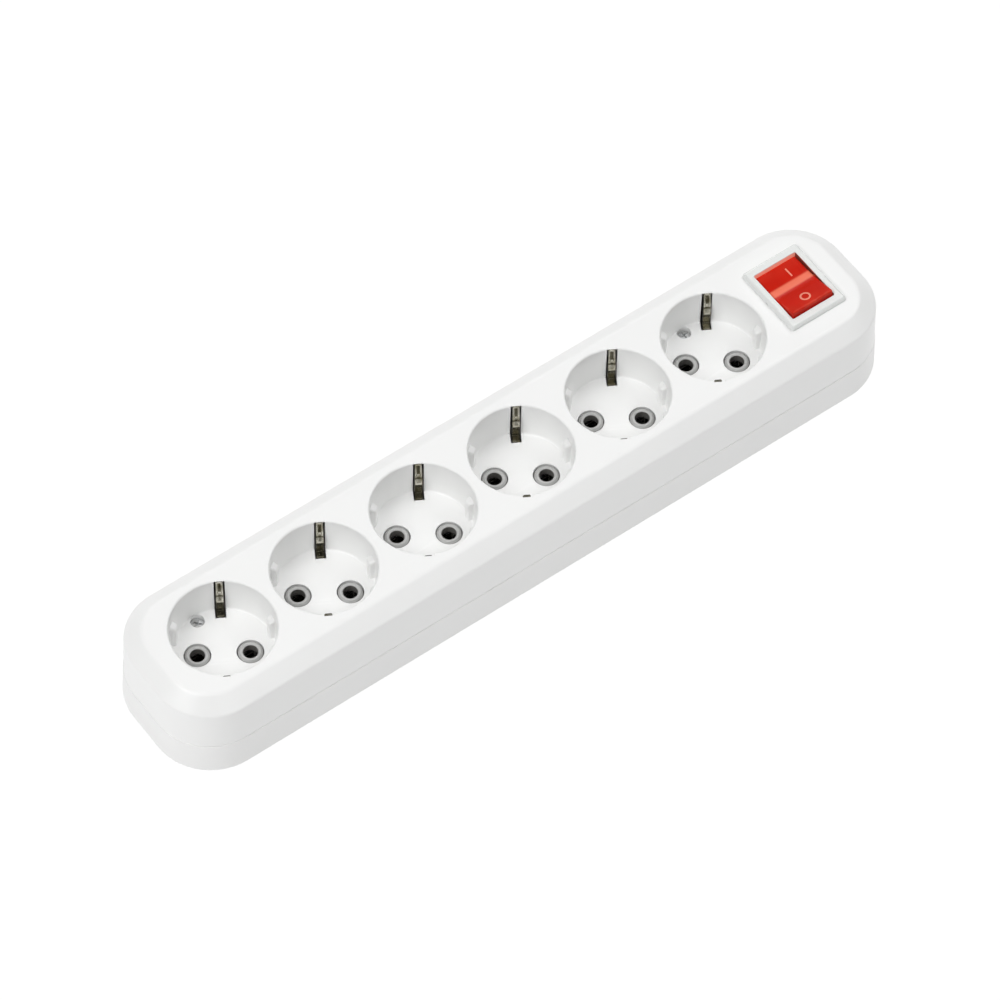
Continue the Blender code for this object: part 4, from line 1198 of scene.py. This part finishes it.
# ====================================================================== switch
def build_housing():
    """Bezel with sloped, rounded edges over the body that holds the rocker."""
    bezel = bpy.context.scene.block_switch
    x = SWITCH_X
    half_x = (HOUSING_HIGH.x - HOUSING_LOW.x) / 2
    half_y = (HOUSING_HIGH.y - HOUSING_LOW.y) / 2
    base = TOP + 0.06
    tall = BEZEL_TOP - base
    window_x, window_y = bezel.window_x / MM / 2, bezel.window_y / MM / 2
    middle = (x, 0.0)
    corners = (
        (4.0, base),
        (0.0, base),
        (0.12, base + tall * 0.45),
        (1.0, BEZEL_TOP),
        (4.0, BEZEL_TOP),
    )
    path = filleted(corners, (0.0, 0.5, bezel.bezel_round / MM), 6)
    rings = []
    for inset, z in path[:-1]:
        corner = 1.3 - min(inset, 0.9)
        rings.append(rounded_ring(half_x - inset, half_y - inset, corner, z, middle, 6))
    skirt_x, skirt_y = window_x + SKIRT_X, window_y + SKIRT_Y
    heights = (HOUSING_LOW.z, base + 0.4)
    skirt = [rounded_ring(skirt_x, skirt_y, 0.8, z, middle, 4) for z in heights]
    levels = (
        (0.0, HOUSING_LOW.z + 2.0),
        (0.0, BEZEL_TOP - 0.35),
        (0.1, BEZEL_TOP - 0.12),
        (0.35, BEZEL_TOP + 0.02),
        (0.35, BEZEL_TOP + PAST),
    )
    hollow = []
    for out, z in levels:
        hollow.append(rounded_ring(window_x + out, window_y + out, 0.5 + out, z, middle, 4))
    axle = turned(revolve(((1.1, -30.0), (1.1, 30.0)), 32), math.pi / 2, "Y")
    axle = shifted(axle, x, 0.0, PIVOT.z)
    housing = carved(
        loft(rings),
        (("UNION", loft(skirt)), ("DIFFERENCE", loft(hollow)), ("DIFFERENCE", axle)),
    )
    for face in housing.faces:
        spot = face.calc_center_median()
        level = abs(face.normal.z) < 0.3 and max(vert.co.z for vert in face.verts) > TOP
        # The far wall takes the painted red reflection and glow; the other wall takes the painted
        # shade.
        if level and abs(spot.y - window_y) < 0.2 and face.normal.y < -0.7:
            face.material_index = 1
        elif level and abs(spot.x - x - window_x) < 0.2 and face.normal.x < -0.7:
            face.material_index = 2
    mats = [bezel_white(), window_painted_glow(), window_shade()]
    finished("switch_frame", housing, mats, "block", ("switch_housing",))


def rocker_section():
    """Side view of the rocker about its axle: two flat faces, a curved crease, arc ends."""
    part = bpy.context.scene.block_switch
    end, rise = part.rocker_end / MM, part.end_rise / MM
    crease, half = part.crease_rise / MM, part.crease_half / MM
    slope = (rise - crease) / end
    corner = math.hypot(end, rise)
    start, stop = math.atan2(rise, end), math.atan2(-4.4, end)
    angles = [start + (stop - start) * i / 10 for i in range(11)]
    side = [(corner * math.cos(angle), corner * math.sin(angle)) for angle in angles]
    dish = []
    for step in range(13):
        y = half * (1 - step / 6)
        dish.append((-y, crease + slope * (half**2 + y**2) / (2 * half)))
    left = [(-y, z) for y, z in reversed(side)]
    return left + dish + side


def in_rocker(bm):
    """Moves a shape from the rocker's own axes to its place at rest."""
    turn = Matrix.Rotation(REST_TILT, 4, "X")
    return placed(bm, Matrix.Translation((SWITCH_X, 0.0, PIVOT.z)) @ turn)


def build_rocker():
    """A hollow shell with two stub axles and a guide tube over each contact lever."""
    part = bpy.context.scene.block_switch
    half_x = part.rocker_x / MM / 2
    end = part.rocker_end / MM
    body = eased(prism(rocker_section(), -half_x, half_x), 0.75, 5, 40.0)
    inner = end - 2.2
    room = half_x - 1.6
    outline = ((-inner, -5.4), (inner, -5.4), (inner, -0.2), (0.0, -0.85), (-inner, -0.2))
    hollow = prism(outline, -room, room)
    stubs = []
    for hand in (-1, 1):
        stub = revolve(((STUB_RADIUS, 0.0), (STUB_RADIUS, 1.0), (STUB_RADIUS - 0.2, 1.15)), 32)
        stub = turned(stub, math.pi / 2, "Y")
        if hand < 0:
            stub = turned(stub, math.pi)
        stubs.append(shifted(stub, x=hand * (half_x - STUB_GAP)))
    places = (-PLUNGER_SIDE, PLUNGER_SIDE)
    guides = [revolve(((2.4, -7.0), (2.4, 0.2)), 32, (x, 0.0)) for x in places]
    bores = [revolve(((1.7, -8.0), (1.7, -0.85)), 32, (x, 0.0)) for x in places]
    body = carved(
        body,
        (
            ("DIFFERENCE", hollow),
            ("UNION", gathered(guides)),
            ("DIFFERENCE", gathered(bores)),
            ("UNION", gathered(stubs)),
        ),
    )
    body = in_rocker(body)
    finished("rocker_key", body, rocker_red(), "rocker", ("rocker",), 40.0)


def on_face(bm, x, y):
    """Lays a flat shape on the rocker's face, x along its axle and y across it."""
    part = bpy.context.scene.block_switch
    slope = (part.end_rise - part.crease_rise) / part.rocker_end
    height = part.crease_rise / MM + slope * abs(y)
    tilt = Matrix.Rotation(math.copysign(math.atan(slope), y), 4, "X")
    return in_rocker(placed(bm, Matrix.Translation((x, y, height)) @ tilt))


def build_marks():
    """The on bar and the off ring, printed proud of the rocker's faces."""
    lift, sink = 0.035, 0.12
    bar = loft([rounded_ring(0.31, 2.15, 0.3, z, steps=6) for z in (-sink, lift)])
    outline = (
        (1.42, -sink),
        (2.12, -sink),
        (2.12, lift - 0.02),
        (2.08, lift),
        (1.46, lift),
        (1.42, lift - 0.02),
    )
    ring = revolve(outline, 56, closed=True)
    bar, ring = on_face(bar, 2.65, 6.4), on_face(ring, -0.1, -7.15)
    finished("mark_on", bar, mark_salmon(), "rocker", ())
    finished("mark_off", ring, mark_salmon(), "rocker", ())


# ================================================================ inside, inlet
def build_inlet():
    """A black lining with a rolled lip, lying along X in the end wall."""
    low, high = node_box("inlet_bush")
    middle = (low.z + high.z) / 2
    long = high.x - low.x
    corners = (
        (4.6, 0.0),
        (8.0, 0.0),
        (8.0, 1.6),
        (6.2, 1.6),
        (6.2, long - 0.1),
        (6.9, long + 0.35),
        (6.6, long + 1.0),
        (5.0, long + 0.9),
        (4.6, long + 0.2),
        (4.6, 0.0),
    )
    profile = filleted(corners, (0.3, 0.3, 0.0, 0.2, 0.2, 0.35, 0.35, 0.4), 4)[:-1]
    ring = turned(revolve(profile, 72, closed=True), math.pi / 2, "Y")
    ring = shifted(ring, x=low.x, z=middle)
    finished("inlet_grommet", ring, rubber_black(), "block", ("inlet_bush",))


def finish_inner_nodes():
    """Better finishes for the frame nodes that show as they are."""
    cream = plastic("cream nylon", (0.75, 0.68, 0.52), (0.68, 0.6, 0.44), (0.4, 0.6))
    brown = plastic("brown insulation", (0.2, 0.09, 0.04), (0.15, 0.06, 0.03), (0.35, 0.5))
    blue = plastic("blue insulation", (0.03, 0.12, 0.45), (0.02, 0.08, 0.36), (0.35, 0.5))
    clear = {"Transmission_Weight": 0.8}
    glass = plastic("lamp glass", (0.9, 0.62, 0.42), (0.85, 0.5, 0.3), (0.03, 0.08), **clear)
    finishes = {
        "cord_clamp": bush_grey(),
        "earth_rail": nickel(),
        "live_rail": tinned(),
        "neutral_rail": tinned(),
        "earth_terminal": brass(),
        "earth_terminal_screw": zinc(),
        "neon_lamp": glass,
        "lamp_resistor": cream,
        "lead_switched_live": brown,
        "lead_switched_neutral": blue,
    }
    for line in LINES:
        finishes["plunger_" + line] = cream
        finishes["plunger_spring_" + line] = zinc()
        for kind in ("contact_lever_", "supply_blade_", "load_blade_"):
            finishes[kind + line] = brass()
    for node, mat in finishes.items():
        slots = frame["nodes"][node].material_slots
        if not slots:
            raise RuntimeError("frame node %s has no material slot" % node)
        for slot in slots:
            slot.material = mat


# ======================================================================= stage
LIGHTS = (
    # name, azimuth, elevation, distance, size, power
    ("top box", 0, 90, 1.6, (1.2, 1.0), 3.8),
    ("right box", 0, 50, 1.6, (0.8, 0.8), 7.4),
    ("left box", 180, 50, 1.6, (0.8, 0.8), 12.3),
    ("front box", 270, 50, 1.6, (0.8, 0.8), 4.2),
    ("left fill", 180, 18, 1.6, (0.8, 0.5), 0.5),
    ("back fill", 60, 18, 1.6, (0.8, 0.5), 1.6),
    ("back strip", 63.4, 40.9, 1.5, (1.3, 0.22), 3.3),
)


WORLD_STRENGTH = 0.05


def soft_light(name, place, size, power):
    """A rectangle of light that faces the middle of the stage."""
    lamp = bpy.data.lights.new(name, "AREA")
    lamp.shape = "RECTANGLE"
    lamp.size, lamp.size_y = size
    lamp.energy = power
    obj = bpy.data.objects.new(name, lamp)
    bpy.context.scene.collection.objects.link(obj)
    obj.location = place
    obj.rotation_euler = (-Vector(place)).to_track_quat("-Z", "Y").to_euler()
    return obj


def build_camera():
    stage = bpy.context.scene.block_stage
    sin_a, cos_a = math.sin(stage.azimuth), math.cos(stage.azimuth)
    sin_e, cos_e = math.sin(stage.elevation), math.cos(stage.elevation)
    back = Vector((sin_a * cos_e, -cos_a * cos_e, sin_e))
    level = Vector((cos_a, sin_a, 0.0))
    rise = back.cross(level)
    right = level * math.cos(stage.roll) + rise * math.sin(stage.roll)
    up = rise * math.cos(stage.roll) - level * math.sin(stage.roll)
    data = bpy.data.cameras.new("camera")
    data.sensor_width = 36.0
    data.lens = stage.lens
    data.clip_start, data.clip_end = 0.05, 50.0
    cam = bpy.data.objects.new("camera", data)
    bpy.context.scene.collection.objects.link(cam)
    place = Vector(stage.target) + back * stage.distance
    cam.matrix_world = Matrix.Translation(place) @ Matrix((right, up, back)).transposed().to_4x4()
    bpy.context.scene.camera = cam


def build_floor():
    stage = bpy.context.scene.block_stage
    bm = bmesh.new()
    bmesh.ops.create_grid(bm, x_segments=2, y_segments=2, size=6.0)
    obj = plain_object("floor", shifted(bm, z=-0.0002))
    mat, _, shader = shader_of("floor")
    shader.inputs["Base Color"].default_value = rgba(stage.floor_colour)
    shader.inputs["Roughness"].default_value = 0.9
    shader.inputs["Specular IOR Level"].default_value = 0.1
    shader.inputs["Emission Color"].default_value = (1.0, 1.0, 1.0, 1.0)
    shader.inputs["Emission Strength"].default_value = stage.floor_lift
    obj.data.materials.append(mat)


def build_lights():
    """Two large boxes over the ends, one overhead, a strip behind and weaker fills."""
    for name, azimuth, elevation, reach, size, power in LIGHTS:
        turn, lift = math.radians(azimuth), math.radians(elevation)
        across = Vector((math.cos(turn), math.sin(turn), 0.0)) * math.cos(lift)
        place = (across + Vector((0.0, 0.0, math.sin(lift)))) * reach
        soft_light(name, place, size, power)
    world = bpy.data.worlds.new("studio")
    world.use_nodes = True
    world.node_tree.nodes["Background"].inputs["Color"].default_value = (1.0, 1.0, 1.0, 1.0)
    world.node_tree.nodes["Background"].inputs["Strength"].default_value = WORLD_STRENGTH
    bpy.context.scene.world = world
    bpy.context.scene.view_settings.view_transform = "Standard"


# =================================================================== operators
class BuildOperator:
    """Shared run: calls the builders in order."""

    bl_options = {"REGISTER"}
    builders = ()

    def execute(self, context):
        for builder in self.builders:
            builder()
        return {"FINISHED"}


class BLOCK_OT_cover(BuildOperator, bpy.types.Operator):
    """Build the cover moulding with its recesses"""

    bl_idname = "block.cover"
    bl_label = "Cover"
    builders = (build_cover,)


class BLOCK_OT_base(BuildOperator, bpy.types.Operator):
    """Build the base moulding"""

    bl_idname = "block.base"
    bl_label = "Base"
    builders = (build_base,)


class BLOCK_OT_bushes(BuildOperator, bpy.types.Operator):
    """Build the pin bushes"""

    bl_idname = "block.bushes"
    bl_label = "Pin bushes"
    builders = (build_bushes,)


class BLOCK_OT_clips(BuildOperator, bpy.types.Operator):
    """Build the earth clips"""

    bl_idname = "block.clips"
    bl_label = "Earth clips"
    builders = (build_clips,)


class BLOCK_OT_screws(BuildOperator, bpy.types.Operator):
    """Build the cross-head screws"""

    bl_idname = "block.screws"
    bl_label = "Screws"
    builders = (build_screws,)


class BLOCK_OT_housing(BuildOperator, bpy.types.Operator):
    """Build the switch housing and its bezel"""

    bl_idname = "block.housing"
    bl_label = "Switch housing"
    builders = (build_housing,)


class BLOCK_OT_rocker(BuildOperator, bpy.types.Operator):
    """Build the rocker and its marks"""

    bl_idname = "block.rocker"
    bl_label = "Rocker"
    builders = (build_rocker, build_marks)


class BLOCK_OT_inlet(BuildOperator, bpy.types.Operator):
    """Build the cord inlet's bush"""

    bl_idname = "block.inlet"
    bl_label = "Cord inlet"
    builders = (build_inlet,)


class BLOCK_OT_inner(BuildOperator, bpy.types.Operator):
    """Give the inner pieces their finishes"""

    bl_idname = "block.inner"
    bl_label = "Inner pieces"
    builders = (finish_inner_nodes,)


class BLOCK_OT_stage(BuildOperator, bpy.types.Operator):
    """Build the floor, the lights and the camera"""

    bl_idname = "block.stage"
    bl_label = "Stage"
    builders = (build_floor, build_lights, build_camera)


OPERATORS = (
    BLOCK_OT_cover,
    BLOCK_OT_base,
    BLOCK_OT_bushes,
    BLOCK_OT_clips,
    BLOCK_OT_screws,
    BLOCK_OT_housing,
    BLOCK_OT_rocker,
    BLOCK_OT_inlet,
    BLOCK_OT_inner,
    BLOCK_OT_stage,
)


class BLOCK_PT_sidebar(bpy.types.Panel):
    """Lists the builders and the settings"""

    bl_idname = "BLOCK_PT_sidebar"
    bl_label = "Socket Block"
    bl_space_type = "VIEW_3D"
    bl_region_type = "UI"
    bl_category = "Socket Block"

    def draw(self, context):
        for operator in OPERATORS:
            self.layout.operator(operator.bl_idname)
        for name in SETTINGS:
            box_layout = self.layout.box()
            group = getattr(context.scene, name)
            for key in group.bl_rna.properties.keys():
                if key not in {"rna_type", "name"}:
                    box_layout.prop(group, key)


SETTINGS = {
    "block_shell": ShellSettings,
    "block_socket": SocketSettings,
    "block_switch": SwitchSettings,
    "block_stage": StageSettings,
}


def register():
    for name, group in SETTINGS.items():
        bpy.utils.register_class(group)
        setattr(bpy.types.Scene, name, PointerProperty(type=group))
    for operator in OPERATORS:
        bpy.utils.register_class(operator)
    bpy.utils.register_class(BLOCK_PT_sidebar)


def unregister():
    bpy.utils.unregister_class(BLOCK_PT_sidebar)
    for operator in reversed(OPERATORS):
        bpy.utils.unregister_class(operator)
    for name, group in reversed(list(SETTINGS.items())):
        delattr(bpy.types.Scene, name)
        bpy.utils.unregister_class(group)


def main():
    register()
    for operator in OPERATORS:
        family, name = operator.bl_idname.split(".")
        getattr(getattr(bpy.ops, family), name)()


if __name__ == "__main__":
    main()
